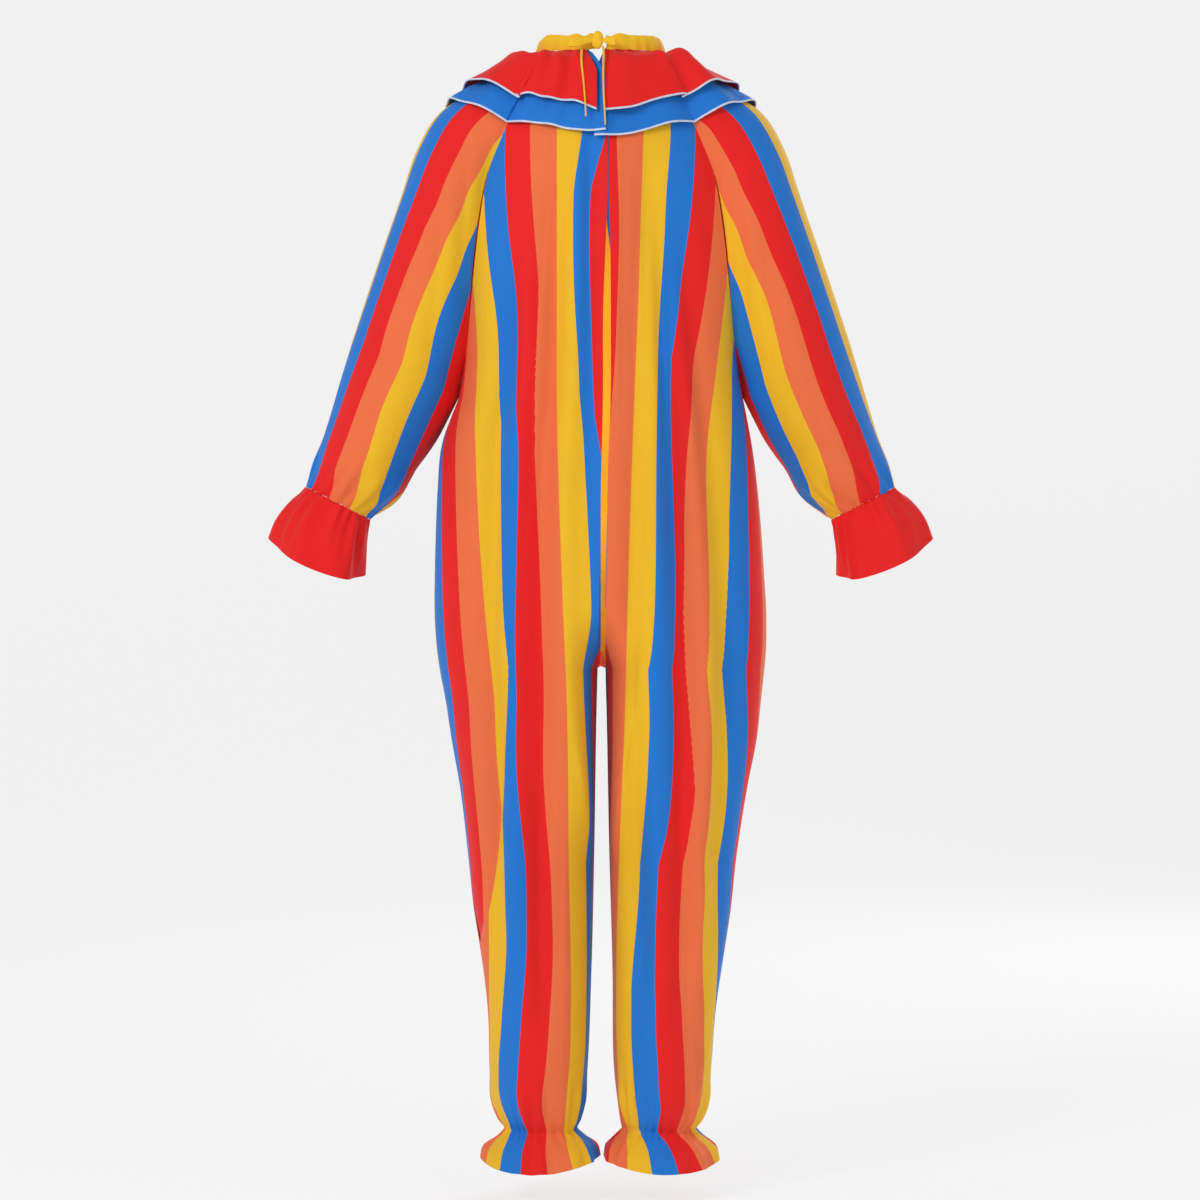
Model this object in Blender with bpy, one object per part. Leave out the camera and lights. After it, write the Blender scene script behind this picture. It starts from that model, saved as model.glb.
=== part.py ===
"""A one-piece clown costume in cloth, hollow and filled out as it is worn.

Frame: metres, +Z up. The wearer faces -Y, the wearer's left is +X, and the origin is the centre of
the neck opening. Each piece is a wall of cloth: a grid of points on its outer face and the same
grid moved in by the thickness of the cloth. Pieces that are sewn together share their seam points
and stand SEAM_GAP apart.
"""
import math

import bmesh
import bpy
import numpy as np

CLOTH = 0.0015
RUFFLE_CLOTH = 0.0012
SEAM_GAP = 0.0003
ARMPIT_SPREAD = 0.0012
HEM_Z = -1.437
CROTCH_Z = -0.800

# How finely each piece is cut: spaces across it, and rows along it.
BACK_COLUMNS = 14
FRONT_COLUMNS = 11
SLEEVE_COLUMNS = 16
CUFF_COLUMNS = 24
RUFFLE_COLUMNS = 38
YOKE_ROWS = (0.0, 0.12, 0.25, 0.38, 0.54, 0.70, 0.86, 1.0)
BODY_ROWS = (-0.455, -0.513, -0.60, -0.68, -0.73, -0.765, -0.787, CROTCH_Z, -0.86, -0.95, -1.06,
             -1.20, -1.317, -1.362, -1.3875, -1.405, HEM_Z)
ARM_ROWS = (1.0, 1.2, 1.45, 1.7, 1.86, 2.0)

# The yoke, from the neck (0) to the armpit (1): the sleeve's outer line, the back raglan seam, how
# far round the arm the sleeve reaches from its outer line, its half depth, how much lower the front
# raglan seam lies, and the centre back and centre front lines.
YOKE = dict(
    down=(0.00, 0.12, 0.25, 0.38, 0.50, 0.63, 0.75, 0.88, 1.00),
    outer_x=(0.078, 0.126, 0.172, 0.2105, 0.236, 0.256, 0.275, 0.296, 0.3174),
    outer_z=(-0.024, -0.040, -0.058, -0.086, -0.133, -0.195, -0.252, -0.315, -0.380),
    seam_x=(0.050, 0.079, 0.105, 0.127, 0.143, 0.154, 0.162, 0.170, 0.182),
    seam_z=(-0.020, -0.052, -0.091, -0.136, -0.180, -0.244, -0.312, -0.389, -0.455),
    wrap=(75, 88, 98, 106, 112, 120, 130, 146, 180),
    half_depth=(0.0525, 0.066, 0.075, 0.079, 0.080, 0.079, 0.078, 0.077, 0.076),
    flat=(0.0, 0.0, 0.04, 0.08, 0.12, 0.18, 0.26, 0.36, 0.45),
    front_drop=(0.045, 0.037, 0.029, 0.021, 0.014, 0.008, 0.003, 0.0, 0.0),
    back_y=(0.066, 0.087, 0.103, 0.115, 0.123, 0.128, 0.130, 0.130, 0.130),
    back_z=(-0.018, -0.052, -0.091, -0.138, -0.183, -0.248, -0.315, -0.389, -0.455),
    front_y=(-0.068, -0.089, -0.105, -0.118, -0.127, -0.133, -0.137, -0.139, -0.140),
    front_z=(-0.080, -0.108, -0.138, -0.171, -0.204, -0.256, -0.317, -0.389, -0.455),
)

# The body and leg below the armpit: how far each side reaches from the centre, the half depths, and
# how far the section has gone from half a torso (0) to a whole leg (1).
BODY = dict(
    z=(-0.455, -0.513, -0.575, -0.620, -0.680, -0.720, -0.750, -0.775, -0.790, CROTCH_Z, -0.842,
       -0.888, -0.950, -1.046, -1.111, -1.157, -1.238, -1.317, -1.353, -1.375, -1.3875, -1.402,
       -1.420, HEM_Z),
    left=(0.182, 0.203, 0.209, 0.211, 0.2125, 0.2130, 0.2120, 0.2100, 0.2080, 0.2065, 0.1985,
          0.1915, 0.1805, 0.169, 0.162, 0.1545, 0.1446, 0.142, 0.139, 0.131, 0.124, 0.134,
          0.149, 0.153),
    right=(0.182, 0.193, 0.201, 0.205, 0.209, 0.2115, 0.2120, 0.2115, 0.2105, 0.2095, 0.205,
           0.200, 0.188, 0.173, 0.166, 0.159, 0.147, 0.141, 0.1375, 0.130, 0.123, 0.133,
           0.147, 0.151),
    back=(0.130, 0.131, 0.133, 0.134, 0.134, 0.133, 0.1315, 0.1293, 0.1277, 0.1265, 0.121,
          0.115, 0.106, 0.095, 0.088, 0.084, 0.078, 0.073, 0.068, 0.058, 0.050, 0.057,
          0.068, 0.074),
    front=(0.140, 0.139, 0.138, 0.137, 0.135, 0.1325, 0.1300, 0.1270, 0.1250, 0.1235, 0.1175,
           0.111, 0.102, 0.092, 0.087, 0.083, 0.076, 0.071, 0.065, 0.055, 0.047, 0.054,
           0.064, 0.070),
    leg=(0.0, 0.0, 0.0, 0.01, 0.03, 0.06, 0.11, 0.16, 0.19, 0.22, 0.36,
         0.53, 0.78, 1.0, 1.0, 1.0, 1.0, 1.0, 1.0, 1.0, 1.0, 1.0,
         1.0, 1.0),
)

LEG_SPACING = (-0.66, -0.92)
# Where the seat starts to curve in to the crotch, and how wide the inseam's round edge is.
SEAT_Z, INSEAM_ROUND, LEAST_ROUND = -0.695, 0.052, 0.004

# The edges of the centre back opening and, below the crotch, the inseams, measured from the centre.
# Each is positive on its own side: the left edge crosses the centre above the waist.
EDGE = dict(
    z=(0.0, -0.03, -0.055, -0.075, -0.13, -0.20, -0.27, -0.35, -0.47, -0.55,
       -0.65, -0.76, CROTCH_Z, -0.86, -1.02, -1.19, -1.317, -1.353, -1.375, -1.3875, -1.402, -1.420, HEM_Z),
    left=(0.022, 0.010, -0.0030, -0.0074, -0.0082, -0.0083, -0.006, -0.003, -0.0025, -0.0005,
          0.001, 0.003, 0.004, 0.0055, 0.0080, 0.0120, 0.0175, 0.021, 0.026, 0.029, 0.018, 0.006, 0.002),
    right=(0.005, 0.0070, 0.0090, 0.0100, 0.0100, 0.0100, 0.0118, 0.0125, 0.0120, 0.009,
           0.0075, 0.006, 0.006, 0.0075, 0.0105, 0.0150, 0.0170, 0.020, 0.024, 0.027, 0.016, 0.005, 0.002),
)

# The sleeve from the armpit (1) to the wrist (2): its outer and inner lines, half depth and how far
# its middle lies behind the middle of the body.
ARM = dict(
    down=(1.0, 1.2, 1.4, 1.6, 1.8, 1.93, 2.0),
    outer_x=(0.3174, 0.333, 0.343, 0.352, 0.365, 0.373, 0.3776),
    outer_z=(-0.380, -0.431, -0.4646, -0.493, -0.530, -0.555, -0.568),
    inner_x=(0.182, 0.2065, 0.2225, 0.237, 0.258, 0.283, 0.297),
    inner_z=(-0.455, -0.503, -0.527, -0.5466, -0.581, -0.600, -0.609),
    half_depth=(0.076, 0.074, 0.071, 0.067, 0.060, 0.047, 0.040),
    flat=(0.45, 0.48, 0.48, 0.42, 0.30, 0.10, 0.0),
    middle_y=(0.0, -0.003, -0.006, -0.009, -0.012, -0.014, -0.015),
)

# The wrist ruffle from the wrist (0) to its hem (1).
CUFF = dict(
    down=(0.0, 0.35, 0.70, 1.0),
    outer_x=(0.3778, 0.399, 0.415, 0.423),
    outer_z=(-0.5684, -0.590, -0.612, -0.632),
    inner_x=(0.2972, 0.3005, 0.3025, 0.305),
    inner_z=(-0.6094, -0.636, -0.660, -0.680),
    half_depth=(0.0405, 0.051, 0.057, 0.061),
    middle_y=(-0.015, -0.0155, -0.016, -0.0165),
)

CUFF_WAVE, CUFF_WAVES, CUFF_TURN = 0.06, 6, 0.6

# Folds of the body. Across is measured from the centre edge (0) to the side (1) at the top, the
# middle and the foot of the fold; a positive depth is a trough and a negative one is a ridge.
FOLD_FADE, SEAM_KEEP = 0.15, 0.12
FOLD_COLUMNS = ("piece", "top_z", "foot_z", "top", "middle", "foot", "depth", "width")
FOLDS = (
    ("back_left", -0.10, -1.34, 0.43, 0.36, 0.50, 0.012, 0.016),
    ("back_left", -0.10, -0.62, 0.16, 0.09, 0.05, 0.006, 0.012),
    ("back_left", -0.24, -1.24, 0.78, 0.66, 0.94, 0.011, 0.015),
    ("back_left", -0.10, -0.95, 0.27, 0.20, 0.22, -0.006, 0.016),
    ("back_left", -0.22, -1.20, 0.58, 0.52, 0.70, -0.007, 0.018),
    ("back_right", -0.10, -1.34, 0.45, 0.46, 0.74, 0.012, 0.016),
    ("back_right", -0.10, -1.30, 0.36, 0.15, 0.30, 0.008, 0.014),
    ("back_right", -0.15, -1.25, 0.62, 0.72, 0.92, 0.008, 0.015),
    ("back_right", -0.20, -1.25, 0.40, 0.30, 0.50, -0.006, 0.017),
    ("back_right", -0.28, -1.20, 0.58, 0.59, 0.83, -0.006, 0.017),
    ("front_left", -0.13, -1.33, 0.40, 0.38, 0.48, 0.011, 0.017),
    ("front_left", -0.20, -1.28, 0.72, 0.70, 0.80, 0.010, 0.016),
    ("front_left", -0.16, -1.20, 0.20, 0.17, 0.24, -0.006, 0.018),
    ("front_right", -0.13, -1.30, 0.36, 0.42, 0.52, 0.010, 0.017),
    ("front_right", -0.22, -1.33, 0.66, 0.73, 0.78, 0.011, 0.016),
    ("front_right", -0.18, -1.15, 0.18, 0.21, 0.30, -0.006, 0.018),
)

# The two ruffles. Edge is how far each end stands short of the centre back; below zero, the ends lap,
# and lap is how much higher an end lies there.
# Reach is how far down the yoke the hem lies, by its share of the way round from the left end to the
# right. Lift is how far each layer lies above the yoke from the neck seam (0) to the hem (1).
RUFFLE = dict(
    ruffle_blue=dict(edge=(-0.006, -0.008), wave=0.0030, lap=0.0048, spread=(0.023, 0.013)),
    ruffle_red=dict(edge=(0.005, 0.0045), wave=0.0042, lap=0.0034, spread=(0.014, 0.001)),
)
REACH = dict(
    share=(0.0, 0.03, 0.06, 0.09, 0.12, 0.16, 0.20, 0.25, 0.33, 0.41, 0.50,
           0.59, 0.67, 0.75, 0.80, 0.84, 0.88, 0.91, 0.94, 0.97, 1.0),
    ruffle_blue=(0.352, 0.350, 0.333, 0.318, 0.312, 0.308, 0.312, 0.322, 0.318, 0.330, 0.345,
                 0.330, 0.318, 0.322, 0.314, 0.309, 0.312, 0.322, 0.345, 0.364, 0.368),
    ruffle_red=(0.288, 0.254, 0.249, 0.226, 0.228, 0.226, 0.235, 0.245, 0.250, 0.262, 0.275,
                0.262, 0.250, 0.245, 0.236, 0.228, 0.226, 0.236, 0.254, 0.282, 0.290),
)
# How far down the yoke the ends' spread goes, which is how much further apart they are at the neck.
SPREAD_END = 0.14
# How much closer each layer lies to the yoke at its ends and at the shoulders, and over what length.
CALM, CALM_LENGTH, SNUG, SNUG_LENGTH = 0.45, 0.06, 0.5, 0.05
LIFT = dict(
    down=(0.0, 0.12, 0.30, 0.55, 0.80, 1.0),
    ruffle_blue=(0.0024, 0.0075, 0.0100, 0.0080, 0.0060, 0.0052),
    ruffle_red=(0.0046, 0.0105, 0.0230, 0.0205, 0.0170, 0.0160),
)
LAP_LENGTH, LAP_START = 0.05, 0.10
RUFFLE_START = 0.006
RUFFLE_ROWS = (0.0, 0.12, 0.35, 0.68, 1.0)
WAVES, WAVE_TURN = 13, 0.8
PIPING_WIDTH, PIPING_THICK = 0.0026, 0.0018

NECKBAND_COLUMNS, NECKBAND_END = 30, 0.006
NECKBAND_HEIGHT, NECKBAND_THICK, NECKBAND_BULGE = 0.018, 0.0020, 0.0016
NECKBAND_DOWN, NECKBAND_RISE, NECKBAND_OUT, NECKBAND_LEAN = 0.018, 0.65, 0.0137, 0.2
NECKBAND_DROP = 0.0042

TIE_WIDTH = 0.0030
LOOP_LEFT, LOOP_RIGHT = 0.037, 0.024
LOOP_HIGH, LOOP_DEEP, LOOP_LEAN, LOOP_CLOTH = 0.011, 0.0075, 0.008, 0.0010
LOOP_SAG_LEFT, LOOP_SAG_RIGHT = 0.006, 0.004
KNOT_AT, KNOT_SIZE = (0.004, 0.0895, -0.0105), (0.015, 0.010, 0.023)
TAIL_LEFT = ((0.0236, 0.0850, -0.0185), (0.0240, 0.0920, -0.0235), (0.0243, 0.0990, -0.0315),
             (0.0240, 0.1048, -0.0420), (0.0225, 0.1088, -0.0560), (0.0212, 0.1128, -0.0690),
             (0.0203, 0.1172, -0.0810), (0.0195, 0.1218, -0.0915), (0.0190, 0.1243, -0.1015),
             (0.0187, 0.1250, -0.1110))
TAIL_RIGHT = ((-0.0028, 0.0868, -0.0190), (-0.0035, 0.0940, -0.0250), (-0.0035, 0.1008, -0.0325),
              (-0.0032, 0.1070, -0.0430), (-0.0030, 0.1112, -0.0560), (-0.0032, 0.1158, -0.0690),
              (-0.0036, 0.1205, -0.0820), (-0.0042, 0.1255, -0.0950), (-0.0050, 0.1280, -0.1080),
              (-0.0056, 0.1285, -0.1220))

RED = (0.80, 0.020, 0.020)
BLUE = (0.016, 0.18, 0.63)
YELLOW = (0.84, 0.48, 0.018)
ORANGE = (0.84, 0.16, 0.06)
PALE = (0.62, 0.67, 0.80)


def through(table, column, at, against="down"):
    """The smooth value of a table's column where the table's first column reads `at`."""
    xs = np.asarray(table[against], float)
    ys = np.asarray(table[column], float)
    at = np.asarray(at, float)
    if xs[0] > xs[-1]:
        xs, at = -xs, -at
    slope = np.gradient(ys, xs)
    i = np.clip(np.searchsorted(xs, at, side="right") - 1, 0, len(xs) - 2)
    width = xs[i + 1] - xs[i]
    s = np.clip((at - xs[i]) / width, 0.0, 1.0)
    return ((1 + 2 * s) * (1 - s) ** 2 * ys[i] + s * (1 - s) ** 2 * width * slope[i]
            + s * s * (3 - 2 * s) * ys[i + 1] + s * s * (s - 1) * width * slope[i + 1])


def unit(v):
    return v / np.maximum(np.linalg.norm(v, axis=-1, keepdims=True), 1e-12)


def mirror(points, side):
    """Points on the wearer's left as they are, or moved to the right."""
    return points if side == "left" else points * np.array((-1.0, 1.0, 1.0))


# Rows of the garment, on the wearer's left ---------------------------------------------------

def sleeve_row(down, columns):
    """Points round the sleeve, from the back seam over its outer line to the front seam."""
    table = YOKE if down <= 1.0 else ARM
    value = {c: float(through(table, c, down)) for c in table if c != "down"}
    outer = np.array((value["outer_x"], value["outer_z"]))
    if down <= 1.0:
        inner = np.array((value["seam_x"], value["seam_z"]))
        wrap, drop, middle_y = math.radians(value["wrap"]), value["front_drop"], 0.0
    else:
        inner = np.array((value["inner_x"], value["inner_z"]))
        wrap, drop, middle_y = math.pi, 0.0, value["middle_y"]
    half_width = np.linalg.norm(outer - inner) / (1 - math.cos(wrap))
    along = (outer - inner) / np.linalg.norm(outer - inner)
    middle = outer - along * half_width
    turn = wrap * np.linspace(1, -1, columns + 1)
    points = np.empty((columns + 1, 3))
    points[:, 0] = middle[0] + along[0] * half_width * np.cos(turn)
    section = np.sin(turn) * np.abs(np.sin(turn)) ** max(value["flat"], 0.0)
    points[:, 1] = middle_y + value["half_depth"] * section
    forward = np.linspace(0, 1, columns + 1)
    points[:, 2] = middle[1] + along[1] * half_width * np.cos(turn) - drop * forward ** 2 * (3 - 2 * forward)
    return points


def yoke_row(down, face, edge, columns):
    """Points from the centre line to the raglan seam, above the armpit."""
    seam = sleeve_row(down, 2)[0 if face == "back" else 2]
    y = float(through(YOKE, face + "_y", down))
    z = float(through(YOKE, face + "_z", down))
    share = min(abs(seam[1] / y), 0.999999)
    half_width = seam[0] / math.sqrt(1 - share ** 2)
    start = math.asin(edge / half_width)
    end = math.asin(min(seam[0] / half_width, 1.0))
    turn = np.linspace(start, end, columns + 1)
    across = np.clip(turn / end, 0, 1)
    points = np.empty((columns + 1, 3))
    points[:, 0] = half_width * np.sin(turn)
    points[:, 1] = y * np.cos(turn)
    points[:, 2] = z + (seam[2] - z) * across ** 2
    points[-1] = seam
    return points


def body_row(z, side, face, edge, columns):
    """Points from the centre edge or inseam to the side seam, below the armpit."""
    reach = float(through(BODY, side, z, "z"))
    depth = float(through(BODY, face, z, "z"))
    leg = float(np.clip(through(BODY, "leg", z, "z"), 0, 1))
    inseam = float(through(EDGE, side, z, "z"))
    middle = leg * (reach + inseam) / 2
    half_width = reach - middle
    # Columns keep their place from row to row: bunched at the side on the body, at both ends on a leg.
    share = np.linspace(0, 1, columns + 1)
    fade = np.clip((LEG_SPACING[0] - z) / (LEG_SPACING[0] - LEG_SPACING[1]), 0, 1)
    across = (1 - fade) * np.sin(share * math.pi / 2) + fade * (1 - np.cos(share * math.pi)) / 2
    points = np.empty((columns + 1, 3))
    points[:, 0] = edge + across * (reach - edge)
    level = np.clip((points[:, 0] - middle) / half_width, -1, 1)
    # The seat's seam curves in to the crotch, and below it the inseam's edge is round.
    seat = np.clip((SEAT_Z - z) / (SEAT_Z - CROTCH_Z), 0, 1) ** 2
    inside = np.clip((points[:, 0] - edge) / (INSEAM_ROUND * (1 - leg) + LEAST_ROUND), 0, 1)
    rounded = np.sqrt(1 - seat * (1 - inside) ** 2)
    points[:, 1] = depth * np.sqrt(1 - level ** 2) * rounded * (1 if face == "back" else -1)
    points[:, 2] = z
    points[-1, 1] = 0.0
    return points


def folded(points, piece, normals):
    """Moves a panel's points in at its troughs and out at its ridges."""
    moved = points.copy()
    low, high = points[:, :1, 0], points[:, -1:, 0]
    for fold in FOLDS:
        f = dict(zip(FOLD_COLUMNS, fold))
        if f["piece"] != piece:
            continue
        along = (f["top_z"] - points[:, :, 2]) / (f["top_z"] - f["foot_z"])
        bend = 2 * f["middle"] - (f["top"] + f["foot"]) / 2
        across = ((1 - along) ** 2 * f["top"] + 2 * along * (1 - along) * bend + along ** 2 * f["foot"])
        centre = low + across * (high - low)
        inside = np.clip(np.minimum(along, 1 - along) / FOLD_FADE, 0, 1)
        fade = inside ** 2 * (3 - 2 * inside)
        profile = np.exp(-((points[:, :, 0] - centre) / f["width"]) ** 2)
        moved -= normals * (f["depth"] * profile * fade)[:, :, None]
    return moved


# Panels --------------------------------------------------------------------------------------

def quad_normals(points, sign, ring=False):
    """The sum of the faces' normals at each point of a grid."""
    grid = np.concatenate((points, points[:, :1]), 1) if ring else points
    face = np.cross(grid[1:, 1:] - grid[:-1, :-1], grid[1:, :-1] - grid[:-1, 1:]) * sign
    total = np.zeros_like(grid)
    for rows in (slice(None, -1), slice(1, None)):
        for columns in (slice(None, -1), slice(1, None)):
            total[rows, columns] += face
    if ring:
        total[:, 0] += total[:, -1]
        total = total[:, :-1]
    return total


def outside(side, face):
    """Which way a panel's grid faces: 1 where columns cross rows to the outside."""
    return (-1 if face == "front" else 1) * (1 if side == "left" else -1)


def body_panel(side, face):
    """A back or a front with its leg: rows from the neck to the hem, columns from centre to side."""
    columns = BACK_COLUMNS if face == "back" else FRONT_COLUMNS
    rows = []
    for down in YOKE_ROWS[:-1]:
        z = float(through(YOKE, "back_z", down))
        edge = float(through(EDGE, side, z, "z")) if face == "back" else 0.0
        rows.append(yoke_row(down, face, edge, columns))
    for z in BODY_ROWS:
        edge = float(through(EDGE, side, z, "z")) if face == "back" or z < CROTCH_Z + 1e-6 else 0.0
        rows.append(body_row(z, side, face, edge, columns))
    points = np.array(rows)
    normals = unit(quad_normals(points, -1 if face == "front" else 1))
    # The seams keep their place, so that the pieces still meet.
    lines = np.linspace(0, 1, columns + 1)
    keep = np.clip(np.minimum(lines, 1 - lines) / SEAM_KEEP, 0, 1)
    shaped = folded(points, face + "_" + side, normals)
    return mirror(points + (shaped - points) * keep[None, :, None], side)


def sleeve_panel(side):
    rows = [sleeve_row(down, SLEEVE_COLUMNS) for down in YOKE_ROWS + ARM_ROWS[1:]]
    return mirror(np.array(rows), side)


def cuff_ring(side):
    """The wrist ruffle, open at both ends, with a wave that grows towards its hem."""
    turn = np.linspace(0, 2 * math.pi, CUFF_COLUMNS, endpoint=False)
    rows = []
    for down in CUFF["down"]:
        value = {c: float(through(CUFF, c, down)) for c in CUFF if c != "down"}
        outer = np.array((value["outer_x"], value["outer_z"]))
        inner = np.array((value["inner_x"], value["inner_z"]))
        middle, arm = (outer + inner) / 2, (outer - inner) / 2
        wave = 1 + CUFF_WAVE * down * np.cos(CUFF_WAVES * turn + CUFF_TURN)
        x = middle[0] + arm[0] * np.cos(turn) * wave
        z = middle[1] + arm[1] * np.cos(turn) * wave
        y = value["middle_y"] - value["half_depth"] * np.sin(turn) * wave
        rows.append(np.stack((x, y, z), 1))
    points = np.array(rows)
    shrink = unit(points[1] - points[0]) * SEAM_GAP
    points[0] += shrink
    return mirror(points, side)


def weld_normals(panels):
    """Unit normals for every panel, shared where panels meet."""
    sums = {}
    normals = {}
    for name, (points, sign) in panels.items():
        normals[name] = quad_normals(points, sign)
        for key, n in zip(map(tuple, np.round(points.reshape(-1, 3), 6)), normals[name].reshape(-1, 3)):
            sums[key] = sums.get(key, 0) + n
    for name, (points, sign) in panels.items():
        keys = map(tuple, np.round(points.reshape(-1, 3), 6))
        normals[name] = unit(np.array([sums[key] for key in keys]).reshape(points.shape))
    return normals


def pulled_back(points, normals, edges):
    """A panel drawn in by half a seam gap at its sewn edges, square to the seam and to the cloth."""
    moved = points.copy()
    quarter = max(1, points.shape[1] // 4)
    for edge in edges:
        line = -1 if edge == "last" else 0
        inner = points[:, -1 - quarter] if edge == "last" else points[:, quarter]
        square = unit(np.cross(np.gradient(points[:, line], axis=0), normals[:, line]))
        way = np.sign(np.sum(square * (inner - points[:, line]), axis=1, keepdims=True))
        moved[:, line] += square * way * SEAM_GAP / 2
    return moved


def yoke_ring(down, edges, columns):
    """Points round the yoke, evenly spaced, from the left end to the right end at the centre back."""
    halves = []
    for edge in edges:
        back = yoke_row(down, "back", edge, 24)
        front = yoke_row(down, "front", 0.0, 24)
        halves.append(np.concatenate((back, sleeve_row(down, 32)[1:], front[::-1][1:])))
    ring = np.concatenate((halves[0], mirror(halves[1], "right")[::-1][1:]))
    run = np.concatenate(((0,), np.cumsum(np.linalg.norm(np.diff(ring, axis=0), axis=1))))
    at = np.linspace(0, run[-1], columns + 1)
    return np.stack([np.interp(at, run, ring[:, k]) for k in range(3)], 1)


def ruffle_ends(name, level):
    """How far a ruffle's two ends stand from the centre back: further apart near the neck."""
    near = np.clip(1 - level / SPREAD_END, 0, 1)
    left, right = RUFFLE[name]["edge"]
    more_left, more_right = RUFFLE[name]["spread"]
    return left + more_left * near, right + more_right * near


def ruffle_grid(name, columns, rows):
    """A ruffle's outer face: the yoke's own points, moved out."""
    shape = RUFFLE[name]
    share = np.linspace(0, 1, columns + 1)
    reach = through(REACH, name, share, "share")
    levels = np.linspace(0, reach.max() * 1.02, 25)
    yoke = np.array([yoke_ring(level, ruffle_ends(name, level), columns) for level in levels])
    normals = unit(quad_normals(yoke, 1))
    points = np.empty((len(rows), columns + 1, 3))
    lap = shape["lap"] * np.clip(1 - share / LAP_LENGTH, 0, 1)
    if name == "ruffle_red":
        lap = lap + shape["lap"] * np.clip(1 - (1 - share) / LAP_LENGTH, 0, 1)
    near_end = np.exp(-(share / CALM_LENGTH) ** 2) + np.exp(-((1 - share) / CALM_LENGTH) ** 2)
    shoulder = np.exp(-((share - 0.25) / SNUG_LENGTH) ** 2) + np.exp(-((0.75 - share) / SNUG_LENGTH) ** 2)
    calm = 1 - CALM * near_end - SNUG * shoulder
    for i, row in enumerate(rows):
        lift = LIFT[name][0] + (through(LIFT, name, row) - LIFT[name][0]) * calm + lap * min(row / LAP_START, 1)
        lift = lift + shape["wave"] * row ** 1.5 * (1 + np.cos(2 * math.pi * WAVES * share + WAVE_TURN)) / 2
        for j in range(columns + 1):
            at = RUFFLE_START + row * (reach[j] - RUFFLE_START)
            base = [np.interp(at, levels, yoke[:, j, k]) for k in range(3)]
            out = unit(np.array([np.interp(at, levels, normals[:, j, k]) for k in range(3)]))
            points[i, j] = base + out * lift[j]
    return points


# Solids --------------------------------------------------------------------------------------

def material(name, colour, roughness=0.55):
    made = bpy.data.materials.new(name)
    made.use_nodes = True
    shader = made.node_tree.nodes["Principled BSDF"]
    shader.inputs["Base Color"].default_value = (*colour, 1)
    shader.inputs["Roughness"].default_value = roughness
    shader.inputs["Metallic"].default_value = 0.0
    return made


def add(name, vertices, faces, colour):
    mesh = bpy.data.meshes.new(name)
    mesh.from_pydata([tuple(v) for v in vertices], [], faces)
    mesh.shade_smooth()
    mesh.set_sharp_from_angle(angle=math.radians(50))
    mesh.materials.append(material(name, colour))
    obj = bpy.data.objects.new(name, mesh)
    bpy.context.scene.collection.objects.link(obj)
    return obj


def cloth(name, points, normals, thickness, sign, colour, ring=False):
    """A wall of cloth between a grid and the same grid moved in."""
    rows, columns = points.shape[:2]
    vertices = np.concatenate((points.reshape(-1, 3), (points - normals * thickness).reshape(-1, 3)))
    inner = rows * columns

    def at(i, j):
        return i * columns + j % columns

    faces = []
    last = columns if ring else columns - 1
    for i in range(rows - 1):
        for j in range(last):
            a, b, c, d = at(i, j), at(i, j + 1), at(i + 1, j + 1), at(i + 1, j)
            # Both faces of the wall are split along the same, shorter diagonal, so it keeps its thickness.
            if np.linalg.norm(vertices[a] - vertices[c]) <= np.linalg.norm(vertices[b] - vertices[d]):
                halves = ((a, b, c), (a, c, d))
            else:
                halves = ((a, b, d), (b, c, d))
            for half in halves:
                faces.append(half)
                faces.append(tuple(inner + k for k in reversed(half)))
    rim = [(at(0, j + 1), at(0, j)) for j in range(last)]
    rim += [(at(rows - 1, j), at(rows - 1, j + 1)) for j in range(last)]
    if not ring:
        rim += [(at(i, 0), at(i + 1, 0)) for i in range(rows - 1)]
        rim += [(at(i + 1, columns - 1), at(i, columns - 1)) for i in range(rows - 1)]
    faces += [(a, b, inner + b, inner + a) for a, b in rim]
    faces = [face if sign > 0 else tuple(reversed(face)) for face in faces]
    return add(name, vertices, faces, colour)


def strip(name, middle, wide, thick, colour):
    """A bar with a rectangular section along a line: half its section's two directions at each point."""
    corners = [middle + wide * a + thick * b for a, b in ((1, 1), (-1, 1), (-1, -1), (1, -1))]
    count = len(middle)
    vertices = np.concatenate(corners)
    faces = []
    for k in range(4):
        for i in range(count - 1):
            a, b = k * count + i, (k + 1) % 4 * count + i
            faces.append((a, b, b + 1, a + 1))
    faces.append(tuple(k * count for k in (3, 2, 1, 0)))
    faces.append(tuple(k * count + count - 1 for k in (0, 1, 2, 3)))
    return add(name, vertices, faces, colour)


def tail(name, route, colour):
    """A free end of the tie, as a thin round cord."""
    points = smooth_route(np.array(route), max(8, int(route_length(route) / (2.5 * TIE_WIDTH))))
    curve = bpy.data.curves.new(name, "CURVE")
    curve.dimensions = "3D"
    curve.bevel_depth = TIE_WIDTH / 2
    curve.bevel_resolution = 2
    curve.use_fill_caps = True
    spline = curve.splines.new("POLY")
    spline.points.add(len(points) - 1)
    for point, place in zip(spline.points, points):
        point.co = (*place, 1)
    curve.materials.append(material(name, colour))
    obj = bpy.data.objects.new(name, curve)
    bpy.context.scene.collection.objects.link(obj)
    return obj


def route_length(route):
    return float(np.linalg.norm(np.diff(np.array(route), axis=0), axis=1).sum())


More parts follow.
